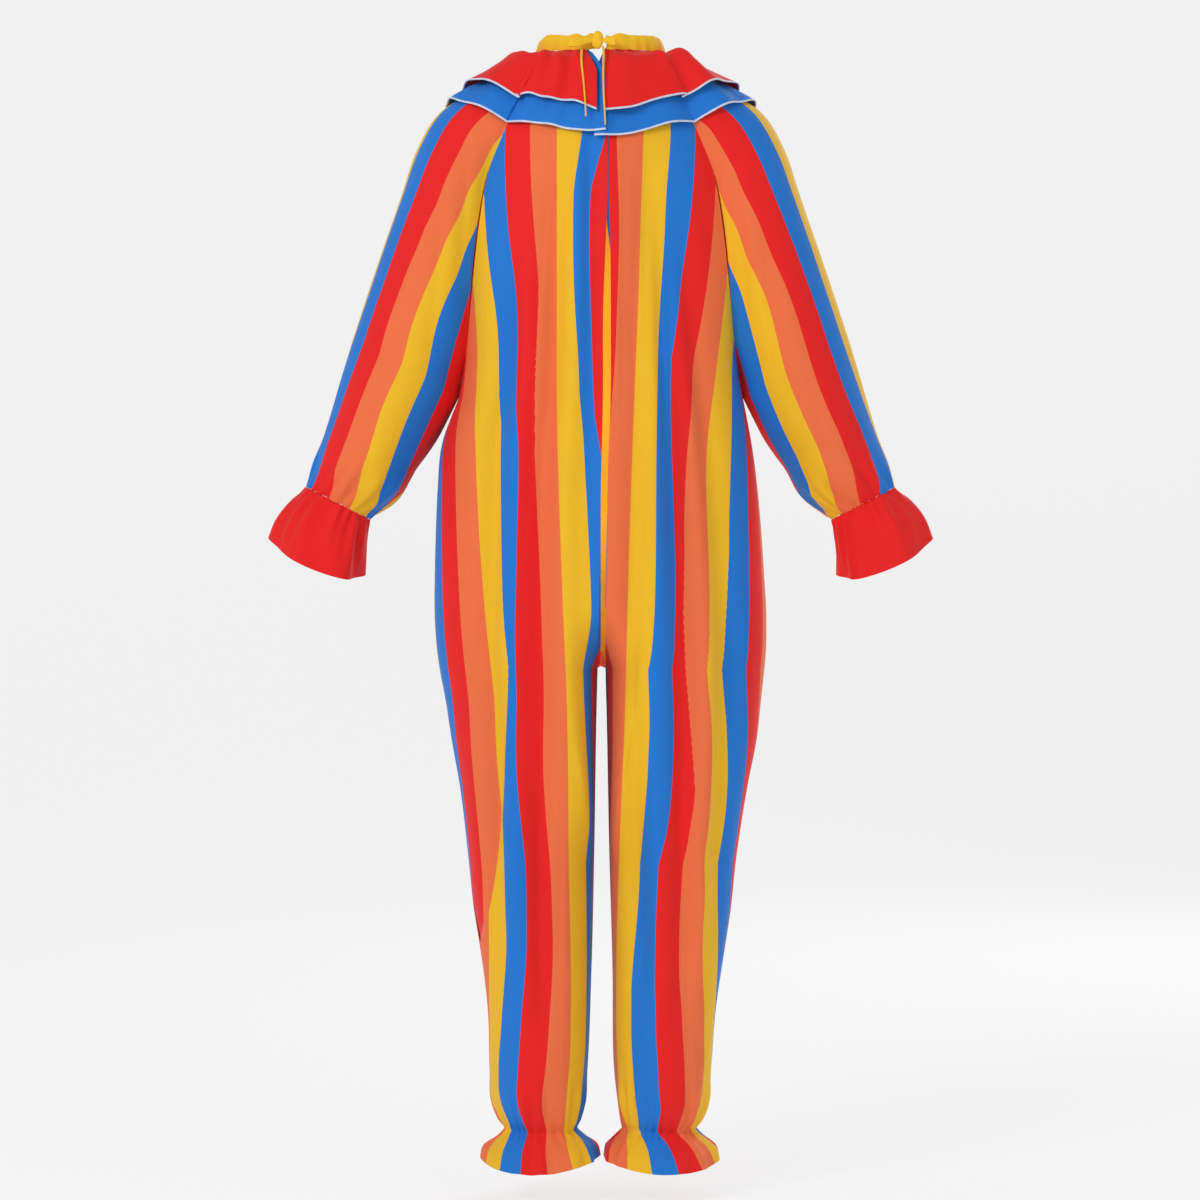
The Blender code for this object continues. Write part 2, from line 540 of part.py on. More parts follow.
def smooth_route(points, count):
    """Evenly spaced points on a smooth curve through the route's own points."""
    table = {"down": np.arange(len(points), dtype=float)}
    for k, axis in enumerate("xyz"):
        table[axis] = points[:, k]
    fine = np.linspace(0, len(points) - 1, 400)
    line = np.stack([through(table, axis, fine) for axis in "xyz"], 1)
    run = np.concatenate(((0,), np.cumsum(np.linalg.norm(np.diff(line, axis=0), axis=1))))
    at = np.linspace(0, run[-1], count)
    return np.stack([np.interp(at, run, line[:, k]) for k in range(3)], 1)


def make_body():
    """Backs, fronts and sleeves, with shared normals at their seams."""
    panels = {}
    sewn = {}
    for side in ("left", "right"):
        for face in ("back", "front"):
            panels[f"{face}_{side}"] = (body_panel(side, face), outside(side, face))
            sewn[f"{face}_{side}"] = ("first", "last")
        panels[f"sleeve_{side}"] = (sleeve_panel(side), outside(side, "sleeve"))
        sewn[f"sleeve_{side}"] = ("first", "last")
    normals = weld_normals(panels)
    armpit = len(YOKE_ROWS) - 1
    colours = dict(back=YELLOW, front=ORANGE, sleeve=BLUE)
    for name, (points, sign) in panels.items():
        moved = pulled_back(points, normals[name], sewn[name])
        kind, side = name.split("_")
        outward = 1 if side == "left" else -1
        if kind == "sleeve":
            moved[armpit, (0, -1), 0] += outward * ARMPIT_SPREAD
        else:
            moved[armpit, -1, 0] -= outward * ARMPIT_SPREAD
        cloth(name, moved, normals[name], CLOTH, sign, colours[kind])


def make_cuffs():
    for side in ("left", "right"):
        points = cuff_ring(side)
        sign = 1 if side == "left" else -1
        normals = unit(quad_normals(points, sign, ring=True))
        cloth(f"cuff_{side}", points, normals, CLOTH, sign, RED, ring=True)


def make_ruffles():
    for name, colour in (("ruffle_blue", BLUE), ("ruffle_red", RED)):
        points = ruffle_grid(name, RUFFLE_COLUMNS, RUFFLE_ROWS)
        normals = unit(quad_normals(points, 1))
        cloth(name, points, normals, RUFFLE_CLOTH, 1, colour)
        down = unit(points[-1] - points[-2])
        middle = points[-1] - normals[-1] * RUFFLE_CLOTH / 2 + down * (SEAM_GAP + PIPING_WIDTH / 2)
        strip(name.replace("ruffle", "piping"), middle, down * PIPING_WIDTH / 2,
              normals[-1] * PIPING_THICK / 2, PALE)


def make_neckband():
    ends = (NECKBAND_END, NECKBAND_END)
    ring = yoke_ring(0.0, ends, NECKBAND_COLUMNS)
    lower = yoke_ring(NECKBAND_DOWN, ends, NECKBAND_COLUMNS)
    # The band stands on the ruffles: lower at the back and front than at the shoulders.
    shoulder = np.sin(np.linspace(0, 2 * math.pi, NECKBAND_COLUMNS + 1)) ** 2
    square = unit(np.cross(np.gradient(ring, axis=0), lower - ring))
    foot = ring + (lower - ring) * (1 - NECKBAND_RISE * shoulder)[:, None] + square * NECKBAND_OUT
    up = unit(unit(ring - lower) * NECKBAND_LEAN + np.array((0, 0, 1 - NECKBAND_LEAN)))
    foot = foot - up * (NECKBAND_DROP * (1 - shoulder))[:, None]
    out = unit(np.cross(np.gradient(ring, axis=0), -up))
    rows = []
    for height, bulge in ((1.0, 0.0), (0.5, NECKBAND_BULGE), (0.0, 0.0)):
        rows.append(foot + up * NECKBAND_HEIGHT * height + out * bulge)
    points = np.array(rows)
    cloth("neckband", points, unit(quad_normals(points, 1)), NECKBAND_THICK, 1, YELLOW)


def make_tie():
    knot = bpy.data.meshes.new("tie_knot")
    shape = bmesh.new()
    bmesh.ops.create_icosphere(shape, subdivisions=2, radius=0.5)
    bmesh.ops.scale(shape, vec=KNOT_SIZE, verts=shape.verts)
    shape.to_mesh(knot)
    shape.free()
    knot.shade_smooth()
    knot.materials.append(material("tie_knot", YELLOW))
    obj = bpy.data.objects.new("tie_knot", knot)
    obj.location = KNOT_AT
    bpy.context.scene.collection.objects.link(obj)
    loop("tie_loop_left", LOOP_LEFT, LOOP_SAG_LEFT)
    loop("tie_loop_right", -LOOP_RIGHT, LOOP_SAG_RIGHT)
    tail("tie_tail_left", TAIL_LEFT, YELLOW)
    tail("tie_tail_right", TAIL_RIGHT, YELLOW)


def loop(name, reach, sag):
    """One flat loop of the bow: a band that runs out, turns and comes back."""
    turn = np.linspace(0, math.pi, 9)
    side = math.copysign(1, reach)
    start = KNOT_AT[0] + side * (KNOT_SIZE[0] / 2 + 0.0004)
    length = abs(reach) - KNOT_SIZE[0] / 2
    out = np.concatenate(((0.0, 0.35, 0.7), 0.85 + 0.15 * np.sin(turn), (0.7, 0.35, 0.0)))
    near = np.concatenate(((0.3, 0.75, 1.0), np.cos(turn), (-1.0, -0.75, -0.3)))
    half_high = LOOP_HIGH / 2 * np.concatenate(((0.45, 0.8, 1.0), np.ones(9), (1.0, 0.8, 0.45)))
    middle = np.stack((start + side * length * out, KNOT_AT[1] + LOOP_LEAN * out + LOOP_DEEP / 2 * near,
                       KNOT_AT[2] - sag * out), 1)
    points = np.stack((middle + half_high[:, None] * np.array((0, 0, 1)), middle,
                       middle - half_high[:, None] * np.array((0, 0, 1))), 0)
    normals = unit(quad_normals(points, -side))
    cloth(name, points, normals, LOOP_CLOTH, -side, YELLOW)


def build():
    for obj in list(bpy.data.objects):
        bpy.data.objects.remove(obj, do_unlink=True)
    make_body()
    make_cuffs()
    make_ruffles()
    make_neckband()
    make_tie()


build()
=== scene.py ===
"""The finished look of a one-piece clown costume, hollow and filled out as it is worn, seen from behind.

Frame: metres, +Z up. The wearer faces -Y, the wearer's left is +X, and the origin is the centre of
the neck opening. The tables down to RUFFLE repeat the sizes of the solids; what follows them is the
finer shape of the cloth: its creases, gathers, hems, stripes and stitches.
"""
import math

import bpy
import numpy as np
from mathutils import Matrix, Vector


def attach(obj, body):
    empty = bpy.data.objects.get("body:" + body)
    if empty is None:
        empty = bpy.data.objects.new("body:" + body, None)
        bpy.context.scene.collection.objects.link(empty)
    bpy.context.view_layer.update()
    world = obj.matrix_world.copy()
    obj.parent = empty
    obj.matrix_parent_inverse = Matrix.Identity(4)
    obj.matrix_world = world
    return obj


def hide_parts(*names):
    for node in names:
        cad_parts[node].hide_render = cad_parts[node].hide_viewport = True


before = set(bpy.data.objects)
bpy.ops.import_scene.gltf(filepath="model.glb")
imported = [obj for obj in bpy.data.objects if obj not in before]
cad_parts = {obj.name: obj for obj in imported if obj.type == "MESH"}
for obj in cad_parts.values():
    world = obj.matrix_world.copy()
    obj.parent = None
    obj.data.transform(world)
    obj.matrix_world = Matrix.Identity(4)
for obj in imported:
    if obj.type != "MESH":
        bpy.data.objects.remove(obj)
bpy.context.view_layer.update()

HEM_Z = -1.437
CROTCH_Z = -0.800
ANKLE_Z = -1.3875
ARMPIT_Z = -0.455

# The yoke, from the neck (0) to the armpit (1).
YOKE = dict(
    down=(0.00, 0.12, 0.25, 0.38, 0.50, 0.63, 0.75, 0.88, 1.00),
    outer_x=(0.078, 0.126, 0.172, 0.2105, 0.236, 0.256, 0.275, 0.296, 0.3174),
    outer_z=(-0.024, -0.040, -0.058, -0.086, -0.133, -0.195, -0.252, -0.315, -0.380),
    seam_x=(0.050, 0.079, 0.105, 0.127, 0.143, 0.154, 0.162, 0.170, 0.182),
    seam_z=(-0.020, -0.052, -0.091, -0.136, -0.180, -0.244, -0.312, -0.389, -0.455),
    wrap=(75, 88, 98, 106, 112, 120, 130, 146, 180),
    half_depth=(0.0525, 0.066, 0.075, 0.079, 0.080, 0.079, 0.078, 0.077, 0.076),
    flat=(0.0, 0.0, 0.04, 0.08, 0.12, 0.18, 0.26, 0.36, 0.45),
    front_drop=(0.045, 0.037, 0.029, 0.021, 0.014, 0.008, 0.003, 0.0, 0.0),
    back_y=(0.066, 0.087, 0.103, 0.115, 0.123, 0.128, 0.130, 0.130, 0.130),
    back_z=(-0.018, -0.052, -0.091, -0.138, -0.183, -0.248, -0.315, -0.389, -0.455),
    front_y=(-0.068, -0.089, -0.105, -0.118, -0.127, -0.133, -0.137, -0.139, -0.140),
    front_z=(-0.080, -0.108, -0.138, -0.171, -0.204, -0.256, -0.317, -0.389, -0.455),
)

# The body and leg below the armpit.
BODY = dict(
    z=(-0.455, -0.513, -0.575, -0.620, -0.680, -0.720, -0.750, -0.775, -0.790, CROTCH_Z, -0.842,
       -0.888, -0.950, -1.046, -1.111, -1.157, -1.238, -1.317, -1.353, -1.375, ANKLE_Z, -1.402,
       -1.420, HEM_Z),
    left=(0.182, 0.203, 0.209, 0.211, 0.2125, 0.2130, 0.2120, 0.2100, 0.2080, 0.2065, 0.1985,
          0.1915, 0.1805, 0.169, 0.162, 0.1545, 0.1446, 0.142, 0.139, 0.131, 0.124, 0.134,
          0.149, 0.153),
    right=(0.182, 0.193, 0.201, 0.205, 0.209, 0.2115, 0.2120, 0.2115, 0.2105, 0.2095, 0.205,
           0.200, 0.188, 0.173, 0.166, 0.159, 0.147, 0.141, 0.1375, 0.130, 0.123, 0.133,
           0.147, 0.151),
    back=(0.130, 0.131, 0.133, 0.134, 0.134, 0.133, 0.1315, 0.1293, 0.1277, 0.1265, 0.121,
          0.115, 0.106, 0.095, 0.088, 0.084, 0.078, 0.073, 0.068, 0.058, 0.050, 0.057,
          0.068, 0.074),
    front=(0.140, 0.139, 0.138, 0.137, 0.135, 0.1325, 0.1300, 0.1270, 0.1250, 0.1235, 0.1175,
           0.111, 0.102, 0.092, 0.087, 0.083, 0.076, 0.071, 0.065, 0.055, 0.047, 0.054,
           0.064, 0.070),
    leg=(0.0, 0.0, 0.0, 0.01, 0.03, 0.06, 0.11, 0.16, 0.19, 0.22, 0.36,
         0.53, 0.78, 1.0, 1.0, 1.0, 1.0, 1.0, 1.0, 1.0, 1.0, 1.0,
         1.0, 1.0),
)

# Between these heights a leg's columns draw in from even turns of the torso to even turns of the leg.
LEG_SPACING = (-0.66, -0.92)
# Where the seat starts to curve in to the crotch, and how wide the inseam's round edge is.
SEAT_Z, INSEAM_ROUND, LEAST_ROUND = -0.695, 0.052, 0.004

# The edges of the centre back opening and, below the crotch, the inseams.
EDGE = dict(
    z=(0.0, -0.03, -0.055, -0.075, -0.13, -0.20, -0.27, -0.35, -0.47, -0.55,
       -0.65, -0.76, CROTCH_Z, -0.86, -1.02, -1.19, -1.317, -1.353, -1.375, ANKLE_Z, -1.402,
       -1.420, HEM_Z),
    left=(0.022, 0.010, -0.0030, -0.0074, -0.0082, -0.0083, -0.006, -0.003, -0.0025, -0.0005,
          0.001, 0.003, 0.004, 0.0055, 0.0080, 0.0120, 0.0175, 0.021, 0.026, 0.029, 0.018, 0.006, 0.002),
    right=(0.005, 0.0070, 0.0090, 0.0100, 0.0100, 0.0100, 0.0118, 0.0125, 0.0120, 0.009,
           0.0075, 0.006, 0.006, 0.0075, 0.0105, 0.0150, 0.0170, 0.020, 0.024, 0.027, 0.016, 0.005, 0.002),
)

# The sleeve from the armpit (1) to the wrist (2).
ARM = dict(
    down=(1.0, 1.2, 1.4, 1.6, 1.8, 1.93, 2.0),
    outer_x=(0.3174, 0.333, 0.343, 0.352, 0.365, 0.373, 0.3776),
    outer_z=(-0.380, -0.431, -0.4646, -0.493, -0.530, -0.555, -0.568),
    inner_x=(0.182, 0.2065, 0.2225, 0.237, 0.258, 0.283, 0.297),
    inner_z=(-0.455, -0.503, -0.527, -0.5466, -0.581, -0.600, -0.609),
    half_depth=(0.076, 0.074, 0.071, 0.067, 0.060, 0.047, 0.040),
    flat=(0.45, 0.48, 0.48, 0.42, 0.30, 0.10, 0.0),
    middle_y=(0.0, -0.003, -0.006, -0.009, -0.012, -0.014, -0.015),
)
ARM_LENGTH = 0.24

# The wrist ruffle from the wrist (0) to its hem (1).
CUFF = dict(
    down=(0.0, 0.35, 0.70, 1.0),
    outer_x=(0.3778, 0.399, 0.415, 0.423),
    outer_z=(-0.5684, -0.590, -0.612, -0.632),
    inner_x=(0.2972, 0.3005, 0.3025, 0.305),
    inner_z=(-0.6094, -0.636, -0.660, -0.680),
    half_depth=(0.0405, 0.051, 0.057, 0.061),
    middle_y=(-0.015, -0.0155, -0.016, -0.0165),
)
CUFF_WAVE, CUFF_WAVES, CUFF_TURN = 0.06, 6, 0.6

# The large folds of the body, as the solids have them. Across is measured from the centre edge (0)
# to the side (1); a positive depth is a trough and a negative one is a ridge.
FOLD_FADE, SEAM_KEEP = 0.15, 0.12
FOLD_COLUMNS = ("piece", "top_z", "foot_z", "top", "middle", "foot", "depth", "width")
FOLDS = (
    ("back_left", -0.10, -1.34, 0.43, 0.36, 0.50, 0.012, 0.016),
    ("back_left", -0.10, -0.62, 0.16, 0.09, 0.05, 0.006, 0.012),
    ("back_left", -0.24, -1.24, 0.78, 0.66, 0.94, 0.011, 0.015),
    ("back_left", -0.10, -0.95, 0.27, 0.20, 0.22, -0.006, 0.016),
    ("back_left", -0.22, -1.20, 0.58, 0.52, 0.70, -0.007, 0.018),
    ("back_right", -0.10, -1.34, 0.45, 0.46, 0.74, 0.012, 0.016),
    ("back_right", -0.10, -1.30, 0.36, 0.15, 0.30, 0.008, 0.014),
    ("back_right", -0.15, -1.25, 0.62, 0.72, 0.92, 0.008, 0.015),
    ("back_right", -0.20, -1.25, 0.40, 0.30, 0.50, -0.006, 0.017),
    ("back_right", -0.28, -1.20, 0.58, 0.59, 0.83, -0.006, 0.017),
    ("front_left", -0.13, -1.33, 0.40, 0.38, 0.48, 0.011, 0.017),
    ("front_left", -0.20, -1.28, 0.72, 0.70, 0.80, 0.010, 0.016),
    ("front_left", -0.16, -1.20, 0.20, 0.17, 0.24, -0.006, 0.018),
    ("front_right", -0.13, -1.30, 0.36, 0.42, 0.52, 0.010, 0.017),
    ("front_right", -0.22, -1.33, 0.66, 0.73, 0.78, 0.011, 0.016),
    ("front_right", -0.18, -1.15, 0.18, 0.21, 0.30, -0.006, 0.018),
)

# The two ruffles. Edge is how far each end stands short of the centre back; below zero, the ends lap,
# and lap is how much higher an end lies there. Reach is how far down the yoke the hem lies, by its
# share of the way round from the left end. Lift is how far each layer lies above the yoke from the
# neck seam (0) to the hem (1).
RUFFLE = dict(
    ruffle_blue=dict(edge=(-0.006, -0.008), wave=0.0030, lap=0.0048, spread=(0.023, 0.013)),
    ruffle_red=dict(edge=(0.005, 0.0045), wave=0.0042, lap=0.0034, spread=(0.014, 0.001)),
)
REACH = dict(
    share=(0.0, 0.03, 0.06, 0.09, 0.12, 0.16, 0.20, 0.25, 0.33, 0.41, 0.50,
           0.59, 0.67, 0.75, 0.80, 0.84, 0.88, 0.91, 0.94, 0.97, 1.0),
    ruffle_blue=(0.352, 0.350, 0.333, 0.318, 0.312, 0.308, 0.312, 0.322, 0.318, 0.330, 0.345,
                 0.330, 0.318, 0.322, 0.314, 0.309, 0.312, 0.322, 0.345, 0.364, 0.368),
    ruffle_red=(0.288, 0.254, 0.249, 0.226, 0.228, 0.226, 0.235, 0.245, 0.250, 0.262, 0.275,
                0.262, 0.250, 0.245, 0.236, 0.228, 0.226, 0.236, 0.254, 0.282, 0.290),
)
# How far down the yoke the ends' spread goes, which is how much further apart they are at the neck.
SPREAD_END = 0.14
# How much closer each layer lies to the yoke at its ends and at the shoulders, and over what length.
CALM, CALM_LENGTH, SNUG, SNUG_LENGTH = 0.45, 0.06, 0.5, 0.05
LIFT = dict(
    down=(0.0, 0.12, 0.30, 0.55, 0.80, 1.0),
    ruffle_blue=(0.0024, 0.0075, 0.0100, 0.0080, 0.0060, 0.0052),
    ruffle_red=(0.0046, 0.0105, 0.0230, 0.0205, 0.0170, 0.0160),
)
LAP_LENGTH, LAP_START = 0.05, 0.10
RUFFLE_START = 0.006
WAVES, WAVE_TURN = 13, 0.8
PIPING_WIDTH, PIPING_THICK = 0.0028, 0.0022

NECKBAND_HEIGHT, NECKBAND_BULGE, NECKBAND_END = 0.018, 0.0016, 0.006
NECKBAND_DOWN, NECKBAND_RISE, NECKBAND_OUT, NECKBAND_LEAN = 0.018, 0.65, 0.0137, 0.2
NECKBAND_DROP = 0.0042
# How much further down behind the red ruffle the casing reaches at the shoulders.
NECKBAND_TUCK = 0.0060
# How deep the casing's own gathers are: at its top edge, at its foot, over its face and where it falls out.
NECKBAND_LOOSE, NECKBAND_PINCH, NECKBAND_TIGHT, NECKBAND_FALL = 0.0016, 0.0010, 0.0011, 0.0012
NECKBAND_FINE, NECKBAND_BROAD, NECKBAND_CLOTH = 33, 12, 0.0014

TIE_WIDTH, TAIL_TAPER = 0.0030, 0.38
LOOP_LEFT, LOOP_RIGHT = 0.037, 0.024
LOOP_HIGH, LOOP_DEEP, LOOP_LEAN = 0.011, 0.0075, 0.008
LOOP_BEND, LOOP_CUP, LOOP_CLOTH = 0.15, 0.0009, 0.0008
KNOT_AT, KNOT_SIZE = (0.004, 0.0895, -0.0105), (0.015, 0.010, 0.023)
TAIL_LEFT = ((0.0236, 0.0850, -0.0185), (0.0240, 0.0920, -0.0235), (0.0243, 0.0990, -0.0315),
             (0.0240, 0.1048, -0.0420), (0.0225, 0.1088, -0.0560), (0.0212, 0.1128, -0.0690),
             (0.0203, 0.1172, -0.0810), (0.0195, 0.1218, -0.0915), (0.0190, 0.1243, -0.1015),
             (0.0187, 0.1250, -0.1110))
TAIL_RIGHT = ((-0.0028, 0.0868, -0.0190), (-0.0035, 0.0940, -0.0250), (-0.0035, 0.1008, -0.0325),
              (-0.0032, 0.1070, -0.0430), (-0.0030, 0.1112, -0.0560), (-0.0032, 0.1158, -0.0690),
              (-0.0036, 0.1205, -0.0820), (-0.0042, 0.1255, -0.0950), (-0.0050, 0.1280, -0.1080),
              (-0.0056, 0.1285, -0.1220))

# The cloth itself ---------------------------------------------------------------------------
CLOTH = 0.0009
STRIPE = 0.037

# How finely each piece is cut.
BACK_CUTS, FRONT_CUTS, SLEEVE_CUTS, CUFF_CUTS, RUFFLE_CUTS, NECKBAND_CUTS = 96, 64, 112, 200, 420, 300
YOKE_CUTS = np.linspace(0.0, 1.0, 62)
BODY_CUTS = np.concatenate((np.linspace(ARMPIT_Z, -0.69, 45)[:-1], np.linspace(-0.69, CROTCH_Z, 51)[:-1],
                            np.linspace(CROTCH_Z, -0.88, 31)[:-1], np.linspace(-0.88, -1.30, 72)[:-1],
                            np.linspace(-1.30, HEM_Z, 46)))
ARM_CUTS = np.concatenate((np.linspace(1.0, 1.75, 34)[:-1], np.linspace(1.75, 2.0, 26)))
CUFF_ROWS, RUFFLE_ROWS_FINE, NECKBAND_ROWS = 34, 40, 14
# How many rows up from the cuff's hem its stitching lies.
HEM_ROWS = 4

# Where the edge between an orange and a yellow stripe runs on each back, from the centre line.
GRAIN = dict(
    z=(-0.13, -0.20, -0.36, -0.464, -0.713, -0.8385, -1.04, -1.2157, -1.305, -1.341, -1.379, HEM_Z),
    left=(0.0547, 0.0547, 0.0547, 0.0547, 0.0473, 0.0423, 0.0402, 0.0377, 0.040, 0.044, 0.0465, 0.036),
    right=(0.0535, 0.0510, 0.0460, 0.0417, 0.0336, 0.0306, 0.0232, 0.0195, 0.0214, 0.0245, 0.0314, 0.034),
)
# Where the edge between a yellow and a blue stripe runs on each front.
FRONT_GRAIN = 0.073
# How far the edge between a blue and a red stripe lies behind a sleeve's outer line.
SLEEVE_GRAIN = dict(
    down=(0.0, 0.3, 0.5, 0.6, 0.75, 0.88, 1.15, 1.6, 2.0),
    left=(0.066, 0.066, 0.063, 0.057, 0.051, 0.049, 0.039, 0.031, 0.028),
    right=(0.086, 0.086, 0.083, 0.077, 0.072, 0.070, 0.062, 0.050, 0.046),
)
# How much more cloth there is than the gathered piece is wide.
LEG_FULLNESS = dict(
    z=(ARMPIT_Z, -0.60, -0.80, -1.10, -1.25, -1.31, -1.353, ANKLE_Z, -1.41, HEM_Z),
    more=(1.03, 1.03, 1.03, 1.03, 1.03, 1.05, 1.15, 1.45, 1.25, 1.10),
)
SLEEVE_FULLNESS = dict(
    down=(0.0, 0.5, 1.0, 1.5, 1.7, 1.9, 2.0),
    more=(1.10, 1.03, 1.02, 1.02, 1.03, 1.10, 1.25),
)
# How far the leg's hem rises from its lowest line, from the inseam (0) to the side seam (1).
HEM_RISE = dict(
    share=(0.0, 0.25, 0.5, 0.75, 1.0),
    back=(0.015, 0.007, 0.0, 0.003, 0.012),
    front=(0.015, 0.013, 0.005, 0.007, 0.012),
)
CUFF_SAG = 0.019
# Grooves and puckers along a sewn edge, and their sizes in metres.
SEAM = dict(groove=0.0006, width=0.0050, pucker=0.0005, reach=0.012, start=0.0030, pitch=0.0035, drift=0.021)
# Gathers: how deep they are where the elastic holds them, where the cloth falls over it and where it
# opens again, over what lengths, and how many there are of each kind.
ANKLE = dict(held=0.0021, above=0.022, below=0.014, over=0.0034, over_at=0.030, over_length=0.030,
             over_start=0.012, flare=0.0030, flare_length=0.045, cord=0.0016, cord_width=0.0030,
             fine=25, broad=11)
WRIST = dict(held=0.0020, length=0.024, over=0.0034, over_at=0.034, over_length=0.030,
             over_start=0.012, fine=17, broad=9)
CUFF_GATHERS = dict(held=0.0024, length=0.42, open=0.0034, open_start=0.25, open_at=0.4,
                    open_length=0.50, fine=15, broad=9)
NECK_GATHERS = dict(top=0.0019, top_start=0.06, top_length=0.30, less=0.45, fine=41, broad=19)
GATHER_DEPTH = dict(ruffle_blue=0.0034, ruffle_red=0.0056)
GATHER_START = dict(ruffle_blue=0.25, ruffle_red=0.32)

# Smaller creases, on the wearer's left. Where they run is measured from the centre line in metres; a
# positive depth is a trough. Each has one width towards the centre and one away from it, and takes
# up some cloth at its middle.
CREASE_FADE = 0.45
CREASE_COLUMNS = ("piece", "top_z", "foot_z", "top_x", "middle_x", "foot_x", "depth", "inner", "outer",
                  "takes")
CREASES = (
    ("back_left", -0.10, -0.80, 0.062, 0.0830, 0.100, 0.0030, 0.002, 0.012, 0.016),
    ("back_left", -0.48, -1.40, 0.108, 0.1250, 0.215, 0.0034, 0.002, 0.014, 0.030),
    ("back_left", -1.02, -1.35, 0.122, 0.1180, 0.112, 0.0022, 0.002, 0.013, 0.004),
    ("back_left", -0.03, -0.72, 0.018, 0.0128, 0.007, 0.0022, 0.004, 0.007, 0.0225),
    ("back_left", -0.06, -0.44, 0.040, 0.0360, 0.032, 0.0018, 0.004, 0.008, 0.012),
    ("back_left", -0.86, -1.36, 0.050, 0.0500, 0.056, 0.0024, 0.003, 0.012, 0.012),
    ("back_right", -0.10, -1.22, 0.082, 0.1005, 0.146, 0.0036, 0.002, 0.014, 0.024),
    ("back_right", -0.05, -0.66, 0.030, 0.0280, 0.024, 0.0020, 0.004, 0.009, 0.008),
    ("back_right", -0.08, -0.74, 0.058, 0.0560, 0.052, 0.0022, 0.004, 0.010, 0.006),
    ("back_right", -0.62, -1.15, 0.150, 0.1480, 0.141, 0.0022, 0.006, 0.013, 0.002),
    ("back_right", -0.90, -1.34, 0.108, 0.1140, 0.108, 0.0024, 0.003, 0.011, 0.004),
    ("front_left", -0.18, -0.84, 0.086, 0.0930, 0.098, 0.0028, 0.004, 0.013, 0.018),
    ("front_left", -0.52, -1.16, 0.120, 0.1280, 0.119, 0.0030, 0.004, 0.014, 0.022),
    ("front_left", -0.12, -0.70, 0.034, 0.0330, 0.029, 0.0022, 0.004, 0.010, 0.010),
    ("front_left", -0.86, -1.31, 0.062, 0.0660, 0.074, 0.0024, 0.004, 0.012, 0.010),
    ("front_right", -0.20, -0.90, 0.092, 0.0980, 0.104, 0.0028, 0.004, 0.013, 0.020),
    ("front_right", -0.58, -1.24, 0.112, 0.1230, 0.116, 0.0030, 0.004, 0.014, 0.020),
    ("front_right", -0.10, -0.62, 0.041, 0.0370, 0.030, 0.0022, 0.004, 0.009, 0.010),
    ("front_right", -0.90, -1.33, 0.070, 0.0640, 0.061, 0.0024, 0.004, 0.012, 0.008),
    ("sleeve_left", -0.10, -0.40, 0.136, 0.1525, 0.170, 0.0042, 0.006, 0.012, 0.010),
    ("sleeve_left", -0.11, -0.38, 0.170, 0.1720, 0.182, 0.0032, 0.008, 0.010, 0.008),
    ("sleeve_left", -0.12, -0.47, 0.198, 0.2060, 0.222, 0.0024, 0.009, 0.012, 0.005),
    ("sleeve_left", -0.36, -0.60, 0.268, 0.2850, 0.306, 0.0022, 0.007, 0.011, 0.004),
    ("sleeve_right", -0.09, -0.37, 0.138, 0.1510, 0.166, 0.0040, 0.006, 0.013, 0.010),
    ("sleeve_right", -0.12, -0.41, 0.168, 0.1760, 0.186, 0.0034, 0.008, 0.010, 0.008),
    ("sleeve_right", -0.14, -0.50, 0.203, 0.2120, 0.236, 0.0024, 0.009, 0.013, 0.005),
    ("sleeve_right", -0.40, -0.61, 0.256, 0.2780, 0.292, 0.0022, 0.007, 0.010, 0.004),
)

RED = (0.80, 0.0144, 0.0137)
BLUE = (0.0144, 0.181, 0.631)
YELLOW = (0.838, 0.479, 0.0176)
ORANGE = (0.838, 0.162, 0.0545)
PALE = (0.610, 0.672, 0.807)
BAND_YELLOW = (0.880, 0.520, 0.0200)


def through(table, column, at, against="down"):
    """The smooth value of a table's column where the table's first column reads `at`."""
    xs = np.asarray(table[against], float)
    ys = np.asarray(table[column], float)
    at = np.asarray(at, float)
    if xs[0] > xs[-1]:
        xs, at = -xs, -at
    slope = np.gradient(ys, xs)
    i = np.clip(np.searchsorted(xs, at, side="right") - 1, 0, len(xs) - 2)
    width = xs[i + 1] - xs[i]
    s = np.clip((at - xs[i]) / width, 0.0, 1.0)
    return ((1 + 2 * s) * (1 - s) ** 2 * ys[i] + s * (1 - s) ** 2 * width * slope[i]
            + s * s * (3 - 2 * s) * ys[i + 1] + s * s * (s - 1) * width * slope[i + 1])


def unit(v):
    return v / np.maximum(np.linalg.norm(v, axis=-1, keepdims=True), 1e-12)


def smooth(x):
    """0 below 0, 1 above 1, and a soft step between them."""
    x = np.clip(x, 0, 1)
    return x * x * (3 - 2 * x)


def mirror(points, side):
    """Points on the wearer's left as they are, or moved to the right."""
    return points if side == "left" else points * np.array((-1.0, 1.0, 1.0))


def ripple(at, count, seed):
    """An uneven wave round a ring, from -1 to 1, whose crests differ in spacing and height."""
    rng = np.random.default_rng(seed)
    bent = np.asarray(at, float)
    height = 0.72
    for k in (1, 2, 3, 5):
        bent = bent + rng.uniform(0.15, 0.38) / count * np.sin(2 * math.pi * (k * at + rng.uniform()))
        height = height + 0.10 * np.sin(2 * math.pi * (k * 2 * at + rng.uniform()))
    return np.cos(2 * math.pi * count * bent) * height


# Rows of the garment, on the wearer's left ---------------------------------------------------

